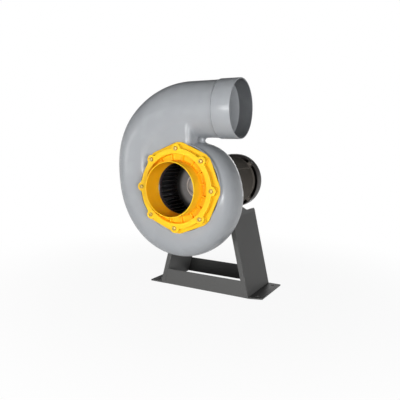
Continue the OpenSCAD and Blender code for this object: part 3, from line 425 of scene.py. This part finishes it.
# painted shade: the rear brace is painted darker, standing in for the shade under the scroll
dress(nodes["rear_brace"], "stand_painted_shade")
print("finishes made")


# Mesh helpers
def addMesh(name, points, faces):
    mesh = bpy.data.meshes.new(name)
    mesh.from_pydata([tuple(p) for p in points], [], faces)
    mesh.update()
    piece = bpy.data.objects.new(name, mesh)
    bpy.context.scene.collection.objects.link(piece)
    return piece


def fixed(piece):   # works the modifiers into the mesh
    graph = bpy.context.evaluated_depsgraph_get()
    mesh = bpy.data.meshes.new_from_object(piece.evaluated_get(graph))
    piece.modifiers.clear()
    old = piece.data
    piece.data = mesh
    bpy.data.meshes.remove(old)


def change(piece, kind, **settings):
    modifier = piece.modifiers.new(kind.lower(), kind)
    for key, value in settings.items():
        setattr(modifier, key, value)


def loft(name, rings):   # closed skin over rows of points
    count = len(rings[0])
    faces = [list(range(count - 1, -1, -1))]
    for row in range(len(rings) - 1):
        a, b = row * count, (row + 1) * count
        faces += [[a + k, a + (k + 1) % count, b + (k + 1) % count, b + k] for k in range(count)]
    last = (len(rings) - 1) * count
    faces.append([last + k for k in range(count)])
    piece = addMesh(name, [p for points in rings for p in points], faces)
    tidyNormals(piece)
    return piece


def tidyNormals(piece):
    shape = bmesh.new()
    shape.from_mesh(piece.data)
    bmesh.ops.recalc_face_normals(shape, faces=shape.faces)
    shape.to_mesh(piece.data)
    shape.free()


# Turns an outline of (radius, depth) about the Y axis, then moves it to its place.
# A closed outline makes a ring, an open one ends on the axis.
def lathe(name, outline, sides=96, place=None, closed=True):
    rings = []
    for i in range(sides):
        angle = 2 * math.pi * i / sides
        rings.append([(r * math.cos(angle), d, r * math.sin(angle)) for r, d in outline])
    count = len(outline)
    faces = []
    for i in range(sides):
        a, b = i * count, (i + 1) % sides * count
        span = count if closed else count - 1
        faces += [[a + k, b + k, b + (k + 1) % count, a + (k + 1) % count] for k in range(span)]
    piece = addMesh(name, [p for points in rings for p in points], faces)
    shape = bmesh.new()
    shape.from_mesh(piece.data)
    bmesh.ops.remove_doubles(shape, verts=shape.verts, dist=1e-6)
    bmesh.ops.recalc_face_normals(shape, faces=shape.faces)
    shape.to_mesh(piece.data)
    shape.free()
    piece.data.transform(place if place is not None else Matrix.Translation(fanAxis))
    return piece


# Prism between two depths from an outline of (x, z) about the fan's axis
def prism(name, outline, front, back, place=None):
    rings = [[(x, depth, z) for x, z in outline] for depth in (front, back)]
    piece = loft(name, rings)
    piece.data.transform(place if place is not None else Matrix.Translation(fanAxis))
    return piece


def polar(radius, degrees):
    angle = math.radians(degrees)
    return radius * math.cos(angle), radius * math.sin(angle)


# Rounds all corners of an outline of points
def rounded(outline, radius, steps=4):
    out = []
    for i, here in enumerate(outline):
        before, after = Vector(outline[i - 1]), Vector(outline[(i + 1) % len(outline)])
        here = Vector(here)
        toBefore, toAfter = before - here, after - here
        reach = min(radius, toBefore.length * 0.45, toAfter.length * 0.45)
        start, end = here + toBefore.normalized() * reach, here + toAfter.normalized() * reach
        for k in range(steps + 1):
            t = k / steps
            out.append(tuple(start * (1 - t) ** 2 + here * (2 * t * (1 - t)) + end * t**2))
    return out


def join(name, pieces):
    shape = bmesh.new()
    for piece in pieces:
        shape.from_mesh(piece.data)
        bpy.data.objects.remove(piece)
    mesh = bpy.data.meshes.new(name)
    shape.to_mesh(mesh)
    shape.free()
    joined = bpy.data.objects.new(name, mesh)
    bpy.context.scene.collection.objects.link(joined)
    return joined


def smoothShade(piece, angle=40):
    piece.data.shade_smooth()
    piece.data.set_sharp_from_angle(angle=math.radians(angle))


def finishPiece(piece, slot, body, *replaced):
    dress(piece, slot)
    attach(piece, body)
    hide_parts(*replaced)


# The moulded scroll, as one smooth skin with soft blends where the pipe meets the drum
scroll = {
    "turns": [0, 60, 150, 240, 285, 330],                      # from the tongue, clockwise from the inlet
    "radii": [0.1395, 0.154, 0.212, 0.2435, 0.2901, 0.3075],   # to the outer edge at those turns
    "firstTurn": -30, "tongueAngle": 60, "startSlope": 1.2,
    "pipeRadius": 0.0815, "outletRise": 0.226, "pipeEnd": 0.089,
    "halfDepth": 0.072, "edge": 0.050, "inner": 0.058,
    "outerSquare": 2.6, "innerSquare": 5, "roundingPower": 9,   # how square it is, and how late it rounds
    "skinSteps": 150, "skinSides": 96, "drumSides": 144,
    "drumRadius": 0.1315, "drumSunk": 0.001,
    "wall": 0.004, "rimRadius": 0.129, "rimDepth": 0.012, "frontHole": 0.1005, "backHole": 0.046,
    "padRadius": 0.062, "bosses": 4, "bossRadius": 0.0115, "bossCircle": 0.0942, "plateFront": 0.092,
    "sunk": 0.006, "seatRadius": 0.132, "seatFront": -0.0815, "keepRadius": 0.136, "past": 0.001,
    "webEnd": 0.041, "webHalf": 0.009, "webStart": -0.045, "webSunk": 0.012,
    "faceOutline": [(-0.118, 0.070), (-0.118, 0.150), (-0.080, 0.186), (-0.030, 0.198)],
    "faceEnd": 0.030, "faceTop": 0.198, "faceFoot": 0.105, "faceRound": 0.014, "faceDeep": 0.052,
    "easeAt": (-0.035, 0.178), "easeReach": (0.110, 0.042), "easeRise": 3, "easeSteps": 60,
    "skinVoxel": 0.0022, "blendSteps": 8, "hollowCoarser": 1.3, "hollowSteps": 4, "hollowPast": 0.004,
}


def slopeAt(i):
    turns, radii = scroll["turns"], scroll["radii"]
    if i == 0:
        return scroll["startSlope"] * (radii[1] - radii[0]) / (turns[1] - turns[0])
    if i == len(turns) - 1:
        return 0
    return (radii[i + 1] - radii[i - 1]) / (turns[i + 1] - turns[i - 1])


def outerRadius(turn):
    turns, radii = scroll["turns"], scroll["radii"]
    if turn < 0:
        return radii[0] + slopeAt(0) * turn
    i = min(max(sum(t <= turn for t in turns) - 1, 0), len(turns) - 2)
    gap = turns[i + 1] - turns[i]
    t = (turn - turns[i]) / gap
    return ((2 * t**3 - 3 * t**2 + 1) * radii[i] + (t**3 - 2 * t**2 + t) * slopeAt(i) * gap
            + (3 * t**2 - 2 * t**3) * radii[i + 1] + (t**3 - t**2) * slopeAt(i + 1) * gap)


def mix(a, b, share):
    return a + (b - a) * share


def signedPower(value, power):
    return math.copysign(abs(value) ** power, value)


def sectionPoint(turn, angle, inset):
    s = max(turn, 0) / scroll["turns"][-1]
    outward = math.cos(angle) >= 0
    outHalf = mix(scroll["edge"], scroll["pipeRadius"], s)
    inHalf = mix(scroll["inner"], scroll["pipeRadius"], s)
    deep = mix(scroll["halfDepth"], scroll["pipeRadius"], s**3) - inset
    if outward:
        square = mix(scroll["outerSquare"], 2, s)
    else:
        square = mix(scroll["innerSquare"], 2, s ** scroll["roundingPower"])
    reach = (outHalf if outward else inHalf) - inset
    return (outerRadius(turn) - outHalf + reach * signedPower(math.cos(angle), 2 / square),
            deep * signedPower(math.sin(angle), 2 / square))


def scrollRing(turn, inset):
    way = math.radians(scroll["tongueAngle"] - turn)
    points = []
    for k in range(scroll["skinSides"]):
        r, d = sectionPoint(turn, 2 * math.pi * k / scroll["skinSides"], inset)
        points.append((r * math.cos(way), fanAxis.y + d, fanAxis.z + r * math.sin(way)))
    return points


def scrollSkin(name, inset, reach):
    last = scroll["turns"][-1]
    first = scroll["firstTurn"] + math.degrees(inset / scroll["radii"][0])
    steps = scroll["skinSteps"]
    rings = [scrollRing(mix(first, last, i / steps), inset) for i in range(steps + 1)]
    rings.append([(scroll["pipeEnd"] + reach, p[1], p[2]) for p in rings[-1]])
    return loft(name, rings)


def drum(name, inset):
    middle = scroll["drumRadius"] - scroll["edge"]
    half = scroll["halfDepth"] - scroll["drumSunk"] - inset
    arc = [math.radians(a) for a in range(-90, 91, 6)]
    square = scroll["outerSquare"]
    outline = [(0, -half)]
    outline += [(middle + (scroll["edge"] - inset) * signedPower(math.cos(a), 2 / square),
                 half * signedPower(math.sin(a), 2 / square)) for a in arc]
    outline.append((0, half))
    return lathe(name, outline, scroll["drumSides"], closed=False)


def disc(name, radius, front, back, sides=96, at=(0, 0)):
    place = Matrix.Translation(fanAxis + Vector((at[0], 0, at[1])))
    return lathe(name, [(0, front), (radius, front), (radius, back), (0, back)], sides, place, closed=False)


def webBlock():   # curved web under the pipe: a block with a round bite out of its free end
    pipeLow = scroll["outletRise"] - scroll["pipeRadius"]
    across = scroll["webEnd"]
    footTurn = scroll["tongueAngle"] - math.degrees(math.acos(across / scroll["radii"][0]))
    drumTop = math.sqrt(outerRadius(footTurn) ** 2 - across**2)
    gap = pipeLow - drumTop
    bite = gap / 2 + 0.0004
    biteAt = (across + gap / 2, pipeLow - gap / 2)
    wall = scroll["wall"]
    outline = [(scroll["webStart"], drumTop - scroll["webSunk"])]
    outline.append((biteAt[0], drumTop - scroll["webSunk"]))
    outline += [(biteAt[0] + bite * math.cos(a), biteAt[1] + bite * math.sin(a))
                for a in [math.radians(d) for d in range(270, 89, -12)]]
    outline.append((scroll["webStart"], pipeLow + wall))
    half = scroll["webHalf"]
    rings = [[(x, fanAxis.y + side, fanAxis.z + z) for x, z in outline] for side in (-half, half)]
    return loft("web", rings)


def faceBlock():   # flat face above the drum, which rounds off at its free end
    front, bend = -scroll["halfDepth"], scroll["faceRound"]
    rows = [(front + bend * (1 - math.cos(a)), scroll["faceEnd"] - bend * (1 - math.sin(a)))
            for a in [math.radians(d) for d in range(0, 91, 15)]]
    rows.append((front + scroll["faceDeep"], scroll["faceEnd"]))
    rings = []
    for depth, end in rows:
        outline = scroll["faceOutline"] + [(end, scroll["faceTop"]), (end, scroll["faceFoot"])]
        rings.append([(x, fanAxis.y + depth, fanAxis.z + z) for x, z in outline])
    return loft("face", rings)


def easeFace(skin):   # smooths the skin much further where the flat face runs into the pipe
    eased = skin.vertex_groups.new(name="face")
    middle, reach = Vector(scroll["easeAt"]), Vector(scroll["easeReach"])
    for point in skin.data.vertices:
        off = point.co - fanAxis
        if off.y > 0:
            continue
        away = Vector(((off.x - middle.x) / reach.x, (off.z - middle.y) / reach.y)).length
        if away < 1:
            eased.add([point.index], min(1, scroll["easeRise"] * (1 - away)), "REPLACE")
    change(skin, "SMOOTH", factor=0.5, iterations=scroll["easeSteps"], vertex_group="face")
    fixed(skin)


def cutWith(piece, tool):
    change(piece, "BOOLEAN", object=tool, operation="DIFFERENCE", solver="MANIFOLD")
    fixed(piece)
    bpy.data.objects.remove(tool)
    return piece


def voluteHousing():
    half, wall, sunk, past = (scroll[k] for k in ("halfDepth", "wall", "sunk", "past"))
    hollowPast, rimBack = scroll["hollowPast"], -scroll["halfDepth"] + scroll["rimDepth"]
    bosses = []
    for i in range(scroll["bosses"]):
        at = polar(scroll["bossCircle"], 45 + 360 / scroll["bosses"] * i)
        bosses.append(disc("boss", scroll["bossRadius"], half - sunk, scroll["plateFront"], 48, at))
    skin = join("volute", [
        scrollSkin("skin", 0, 0), drum("drumSkin", 0), webBlock(), faceBlock(),
        disc("rim", scroll["rimRadius"], -half, rimBack, 144),
        disc("pad", scroll["padRadius"], half - sunk, half), *bosses])
    change(skin, "REMESH", mode="VOXEL", voxel_size=scroll["skinVoxel"], adaptivity=0)
    change(skin, "SMOOTH", factor=0.5, iterations=scroll["blendSteps"])
    fixed(skin)
    easeFace(skin)
    hollow = join("hollow", [scrollSkin("inside", wall, hollowPast), drum("drumInside", wall)])
    voxel = scroll["skinVoxel"] * scroll["hollowCoarser"]
    change(hollow, "REMESH", mode="VOXEL", voxel_size=voxel, adaptivity=0)
    change(hollow, "SMOOTH", factor=0.5, iterations=scroll["hollowSteps"])
    fixed(hollow)
    cutWith(hollow, disc("keepRim", scroll["keepRadius"], -half - hollowPast, rimBack, 144))
    cutWith(hollow, disc("keepPad", scroll["padRadius"], half - sunk, half + hollowPast, 96))
    cutWith(skin, hollow)
    cutWith(skin, disc("seat", scroll["seatRadius"], scroll["seatFront"], -half, 144))
    cutWith(skin, disc("frontHole", scroll["frontHole"], -half - past, 0, 144))
    cutWith(skin, disc("backHole", scroll["backHole"], 0, half + past, 96))
    smoothShade(skin, 50)
    finishPiece(skin, "casing_grey", "casing", "volute_housing")


voluteHousing()
print("scroll made")


# Socket on the pipe: a tapered shoulder, a straight part, and a taper inside that stops the duct
outlet = {
    "bore": 0.08025, "outer": 0.08405, "pipeBore": 0.0775, "gap": 0.0002, "fit": 0.0004, "sides": 160,
    "shoulder": 0.012, "straight": 0.0525, "depth": 0.043, "stopTaper": 0.0074, "lip": 0.0009,
    "seamAt": 0.099, "groove": 0.0019, "grooveDepth": 0.0016, "lap": 0.008,
}


def outletSocket():
    start = scroll["pipeEnd"] + outlet["gap"]
    mouth = scroll["pipeEnd"] + outlet["shoulder"] + outlet["straight"]
    stop = mouth - outlet["depth"]
    pipe, pipeBore, fit = scroll["pipeRadius"], outlet["pipeBore"], outlet["fit"]
    over = start - outlet["lap"]
    bore, outer, lip = outlet["bore"], outlet["outer"], outlet["lip"]
    seam, wide = outlet["seamAt"], outlet["groove"]
    sunk = outer - outlet["grooveDepth"]
    outline = [
        (pipeBore, start), (pipe - fit, start), (pipe - fit, over), (pipe + outlet["gap"], over),
        (pipe + 0.0003, start + 0.001), (pipe + 0.0006, start + 0.002), (outer - 0.0005, seam - wide * 2),
        (outer - 0.0001, seam - wide * 1.3), (outer - 0.0001, seam - wide),
        (sunk, seam - wide * 0.8), (sunk, seam - wide * 0.2), (outer, seam), (outer, seam + 0.004),
        (outer, mouth - lip), (outer - lip * 0.3, mouth - lip * 0.3), (outer - lip, mouth),
        (bore + lip, mouth), (bore + lip * 0.3, mouth - lip * 0.3), (bore, mouth - lip),
        (bore, stop + 0.001), (bore - 0.0003, stop), (bore - 0.001, stop - 0.0004),
        (pipeBore, stop - outlet["stopTaper"]),
    ]
    middle = Matrix.Translation((0, fanAxis.y, fanAxis.z + scroll["outletRise"]))
    piece = lathe("outletSocket", outline, outlet["sides"], middle @ Matrix.Rotation(-math.pi / 2, 4, "Z"))
    smoothShade(piece, 30)
    finishPiece(piece, "casing_grey", "casing", "outlet_socket")


outletSocket()

# Inlet ring, moulded in one: spigot and throat, lugged front ring, drum wall, columns, ribs and back flange
ring = {
    "spigot": 0.079, "spigotRoot": 0.080, "spigotBore": 0.076, "spigotFront": -0.130,
    "lip": 0.0008, "lipIn": 0.0006, "throat": 0.0742, "throatLip": 0.0772, "throatEnd": -0.065,
    "front": -0.098, "ringBack": -0.093, "lugBack": -0.0915, "inner": 0.099, "outer": 0.1145,
    "drumWall": 0.104, "lugs": 8, "lug": 0.0135, "column": 0.0105, "screwCircle": 0.1135,
    "flangeFront": -0.079, "flangeBack": -0.0735, "flangeBore": 0.0785, "flange": 0.131, "flangeFlat": 0.1245,
    "ribs": 16, "ribHalf": 0.0015, "ribDrop": 0.004, "ribFrom": 0.078, "ribTo": 0.1,
    "hole": 0.0035, "recess": 0.0072, "recessDepth": 0.0012, "past": 0.001,
    "sides": 192, "voxel": 0.0011, "blendSteps": 4,
}


def around(count, radius):
    return [polar(radius, 360 * i / count) for i in range(count)]


def inletRing():
    lugs, past, sides, lipIn = ring["lugs"], ring["past"], ring["sides"], ring["lipIn"]
    front, ringBack, flangeBack = ring["front"], ring["ringBack"], ring["flangeBack"]
    inner, outer, wall = ring["inner"], ring["outer"], ring["drumWall"]
    spigot, bore, mouth, lip = ring["spigot"], ring["spigotBore"], ring["spigotFront"], ring["lip"]
    bits = [lathe("spigot", [
        (bore + lipIn, mouth), (spigot - lipIn, mouth), (spigot, mouth + lip), (spigot, ringBack),
        (ring["spigotRoot"], ringBack), (ring["spigotRoot"], flangeBack), (ring["throatLip"], flangeBack),
        (ring["throatLip"], ring["throatEnd"]), (ring["throat"], ring["throatEnd"]), (bore, front),
        (bore, mouth + lip)], sides)]
    tier = []
    for i in range(360):
        lean = (i % (360 / lugs)) - 180 / lugs
        tier.append(polar(min(ring["flange"], ring["flangeFlat"] / math.cos(math.radians(lean))), i))
    flange = prism("flange", tier, ring["flangeFront"], flangeBack)
    bits.append(cutWith(flange, disc("flangeBore", ring["flangeBore"], -0.1, -0.05, 144)))
    bits.append(lathe("drumWall", [
        (inner, ringBack - past), (wall, ringBack - past), (wall, flangeBack), (inner, flangeBack)], sides))
    bits.append(lathe("frontRing", [
        (inner, front), (outer, front), (outer, ringBack), (inner, ringBack)], sides))
    for at in around(lugs, ring["screwCircle"]):
        bits.append(disc("lug", ring["lug"], front, ring["lugBack"], 64, at))
        bits.append(disc("column", ring["column"], ring["lugBack"] - past, flangeBack, 48, at))
    half, start, end = ring["ribHalf"], ring["ribFrom"], ring["ribTo"]
    for i in range(ring["ribs"]):
        turned = Matrix.Rotation(-math.radians((i + 0.5) * 360 / ring["ribs"]), 4, "Y")
        bits.append(prism("rib", [(start, -half), (end, -half), (end, half), (start, half)],
                          ringBack + ring["ribDrop"], ring["flangeFront"] + past,
                          Matrix.Translation(fanAxis) @ turned))
    piece = join("inletRing", bits)
    change(piece, "REMESH", mode="VOXEL", voxel_size=ring["voxel"], adaptivity=0)
    change(piece, "SMOOTH", factor=0.5, iterations=ring["blendSteps"])
    fixed(piece)
    for radius, back in [(ring["hole"], flangeBack + past), (ring["recess"], front + ring["recessDepth"])]:
        cutWith(piece, join("holes", [disc("hole", radius, front - past, back, 48, at)
                                      for at in around(lugs, ring["screwCircle"])]))
    smoothShade(piece, 45)
    finishPiece(piece, "inlet_yellow", "casing", "inlet_ring")


inletRing()

# Screws of the inlet ring: a washer, and a round head with a hexagon socket
screw = {
    "shank": 0.003, "length": 0.034, "head": 0.0056, "headHeight": 0.0040,
    "washer": 0.0062, "washerThick": 0.0015, "key": 0.0029, "keyDepth": 0.0024, "keyTurn": 17,
}


def inletScrews():
    base = ring["front"] + ring["recessDepth"]
    shank, wide, thick, length = screw["shank"], screw["head"], screw["washerThick"], screw["length"]
    bits = []
    for i, at in enumerate(around(ring["lugs"], ring["screwCircle"])):
        place = Matrix.Translation(fanAxis + Vector((at[0], base, at[1])))
        top = -thick - screw["headHeight"]
        head = lathe("head", [
            (0, top), (wide * 0.62, top), (wide * 0.9, top + 0.0005), (wide, top + 0.0015),
            (wide, -thick - 0.0002), (wide - 0.0002, -thick), (0, -thick)], 48, place, closed=False)
        key = prism("key", [polar(screw["key"], 60 * k + screw["keyTurn"] * i) for k in range(6)],
                    top - 0.001, top + screw["keyDepth"], place)
        bits.append(cutWith(head, key))
        bits.append(lathe("washer", rounded([
            (shank + 0.0001, -thick), (screw["washer"], -thick), (screw["washer"], 0), (shank + 0.0001, 0)],
            0.0003, 2), 48, place))
        bits.append(lathe("shank", [
            (0, -thick - 0.0005), (shank, -thick - 0.0005), (shank, length - 0.001),
            (shank - 0.001, length), (0, length)], 32, place, closed=False))
    piece = join("inletScrews", bits)
    smoothShade(piece, 35)
    finishPiece(piece, "zinc", "casing", "inlet_screws")
    dress(piece, "yellow_zinc")


inletScrews()

# Front ring of the wheel, whose inner edge curls back between the blades like a nozzle
wheelRing = {"outline": [
    (0.0975, -0.0580), (0.0980, -0.0575), (0.0980, -0.0555), (0.0975, -0.0550), (0.0850, -0.0550),
    (0.0812, -0.0536), (0.0788, -0.0512), (0.0776, -0.0486), (0.0766, -0.0480), (0.0757, -0.0488),
    (0.0768, -0.0525), (0.0792, -0.0558), (0.0830, -0.0580)], "sides": 160}


def frontRing():
    piece = lathe("wheelRing", wheelRing["outline"], wheelRing["sides"])
    smoothShade(piece, 40)
    finishPiece(piece, "black_plastic", "rotor", "impeller_front_ring")
    dress(piece, "wheel_ring")


frontRing()

# Spun cap over the hub: a dome in the middle of a flat rim, with a groove between them
cap = {"outline": [
    (0, 0.0150), (0.0080, 0.0156), (0.0150, 0.0176), (0.0210, 0.0212), (0.0262, 0.0262),
    (0.0300, 0.0325), (0.0318, 0.0385), (0.0322, 0.0425), (0.0352, 0.0425), (0.0358, 0.0400),
    (0.0384, 0.0400), (0.0390, 0.0406), (0.0390, 0.0440), (0, 0.0440)], "sides": 96}


def hubCap():
    piece = lathe("hubCap", cap["outline"], cap["sides"], closed=False)
    smoothShade(piece, 35)
    finishPiece(piece, slotOf["hub_cap"], "rotor", "hub_cap")


hubCap()
print("socket, inlet ring, screws, the wheel's front ring and its cap made")


# Softens the sharp edges of pieces whose shape is already right
def soften(names, width, angle=35, segments=2):
    for name in names:
        change(nodes[name], "WELD", merge_threshold=1e-6)
        change(nodes[name], "BEVEL", width=width, segments=segments, limit_method="ANGLE",
               angle_limit=math.radians(angle), use_clamp_overlap=True, harden_normals=False)


sheetSteel = ["left_leg", "right_leg", "front_brace", "rear_brace", "motor_plate"]
castings = ["front_shield", "rear_shield", "stator_housing", "terminal_box", "terminal_box_lid", "fan_cowl"]
plastics = ["back_cover", "cable_gland", "gland_nut", "cooling_fan", "impeller_backplate"]
fasteners = ["housing_bolts", "motor_bolts", "tie_bolts", "cowl_screws", "terminal_box_screws",
             "back_cover_screws"]
soften(sheetSteel, 0.0009, 30, 3)
soften(castings, 0.0006)
soften(plastics, 0.0004)
soften(fasteners, 0.0002)
print("edges softened")

# Floor and backdrop
stageLook = {"floorSize": 40, "white": 0.74, "shadowShare": 0.07, "fadeFrom": 0.30, "fadeTo": 1.1}


def stageFinish():
    finish = Finish("paleStage", Roughness=0.9)
    finish.feed("Base Color", (stageLook["white"],) * 3)
    glow = finish.tree.nodes.new("ShaderNodeEmission")
    ray = finish.tree.nodes.new("ShaderNodeLightPath")
    seen = Signal(finish, ray.outputs["Is Camera Ray"])
    mirrored = Signal(finish, ray.outputs["Is Glossy Ray"])
    through = Signal(finish, ray.outputs["Is Transmission Ray"])
    x, y, z = finish.axes()
    away = (x * x + y * y) ** 0.5
    near = 1 - finish.step(away, stageLook["fadeFrom"], stageLook["fadeTo"])
    share = (seen + mirrored + through).clamped() * (1 - near * stageLook["shadowShare"])
    mixed = finish.tree.nodes.new("ShaderNodeMixShader")
    finish.put(mixed.inputs[0], share)
    finish.tree.links.new(finish.shader.outputs[0], mixed.inputs[1])
    finish.tree.links.new(glow.outputs[0], mixed.inputs[2])
    finish.tree.links.new(mixed.outputs[0], finish.output.inputs["Surface"])
    return finish.material


def makeStage():
    half = stageLook["floorSize"] / 2
    corners = [(-half, -half, 0), (half, -half, 0), (half, half, 0), (-half, half, 0)]
    floor = addMesh("floor", corners, [[0, 1, 2, 3]])
    floor.data.materials.append(stageFinish())


makeStage()

# Light: a white surround under a dark ceiling, three low soft lamps round the front and one behind
lamps = {
    "left": {"from": (-2.43, -2.14, 0.38), "size": 0.9, "power": 16},
    "right": {"from": (2.20, -2.37, 0.28), "size": 0.8, "power": 68},
    "ahead": {"from": (-0.15, -3.26, 0.46), "size": 0.7, "power": 45},
    "back": {"from": (-0.9, 2.9, 0.40), "size": 1.4, "power": 20},
}
surround = {"seen": 1.0, "light": 0.05, "ceiling": 0.05, "fadeFrom": 0.04, "fadeTo": 0.30}
lampAim = (0, -0.1, 0.33)


def makeLight():
    aim = Vector(lampAim)
    for name, lamp in lamps.items():
        data = bpy.data.lights.new(name, "AREA")
        data.energy = lamp["power"]
        data.size = lamp["size"]
        thing = bpy.data.objects.new(name, data)
        thing.location = lamp["from"]
        thing.rotation_euler = (aim - thing.location).to_track_quat("-Z", "Y").to_euler()
        bpy.context.scene.collection.objects.link(thing)
    world = bpy.data.worlds.new("surround")
    bpy.context.scene.world = world
    world.use_nodes = True
    tree = world.node_tree
    back = tree.nodes["Background"]
    ray = tree.nodes.new("ShaderNodeLightPath")
    way = tree.nodes.new("ShaderNodeTexCoord")
    parts = tree.nodes.new("ShaderNodeSeparateXYZ")
    tree.links.new(way.outputs["Generated"], parts.inputs[0])
    ceiling = tree.nodes.new("ShaderNodeMapRange")
    ceiling.inputs["From Min"].default_value = surround["fadeFrom"]
    ceiling.inputs["From Max"].default_value = surround["fadeTo"]
    ceiling.inputs["To Min"].default_value = surround["seen"]
    ceiling.inputs["To Max"].default_value = surround["ceiling"]
    tree.links.new(parts.outputs["Z"], ceiling.inputs["Value"])
    level = ray.outputs["Is Glossy Ray"]
    steps = [("MAXIMUM", ray.outputs["Is Transmission Ray"]), ("MULTIPLY", ceiling.outputs[0]),
             ("MAXIMUM", ray.outputs["Is Camera Ray"]), ("MAXIMUM", surround["light"])]
    for operation, other in steps:
        made = tree.nodes.new("ShaderNodeMath")
        made.operation = operation
        tree.links.new(level, made.inputs[0])
        if isinstance(other, float):
            made.inputs[1].default_value = other
        else:
            tree.links.new(other, made.inputs[1])
        level = made.outputs[0]
    tree.links.new(level, back.inputs["Strength"])
    back.inputs["Color"].default_value = (1, 1, 1, 1)


makeLight()

# Camera at the photograph's angle; the focal length is in the 400 px image's own pixels
shot = {
    "azimuth": 30.18, "elevation": 7.47, "roll": 0.93, "distance": 1.4292,
    "target": (-0.0444, -0.183, 0.2839), "focal": 466.3, "centre": (178.33, 205.45), "side": 400,
    "sensor": 36, "clipEnd": 100,
}


def makeCamera():
    az, el, roll = (math.radians(shot[k]) for k in ("azimuth", "elevation", "roll"))
    back = Vector((math.sin(az) * math.cos(el), -math.cos(az) * math.cos(el), math.sin(el)))
    right = Vector((math.cos(az), math.sin(az), 0))
    up = back.cross(right)
    tilted = right * math.cos(roll) + up * math.sin(roll)
    upright = up * math.cos(roll) - right * math.sin(roll)
    data = bpy.data.cameras.new("shot")
    data.sensor_width = shot["sensor"]
    data.lens = shot["focal"] / shot["side"] * data.sensor_width
    data.shift_x = (shot["side"] / 2 - shot["centre"][0]) / shot["side"]
    data.shift_y = (shot["centre"][1] - shot["side"] / 2) / shot["side"]
    data.clip_end = shot["clipEnd"]
    thing = bpy.data.objects.new("shot", data)
    thing.matrix_world = Matrix.Translation(Vector(shot["target"]) + back * shot["distance"]) @ Matrix(
        (tilted, upright, back)).transposed().to_4x4()
    bpy.context.scene.collection.objects.link(thing)
    bpy.context.scene.camera = thing


makeCamera()
bpy.context.scene.view_settings.view_transform = "Standard"
print("stage, light and camera set")
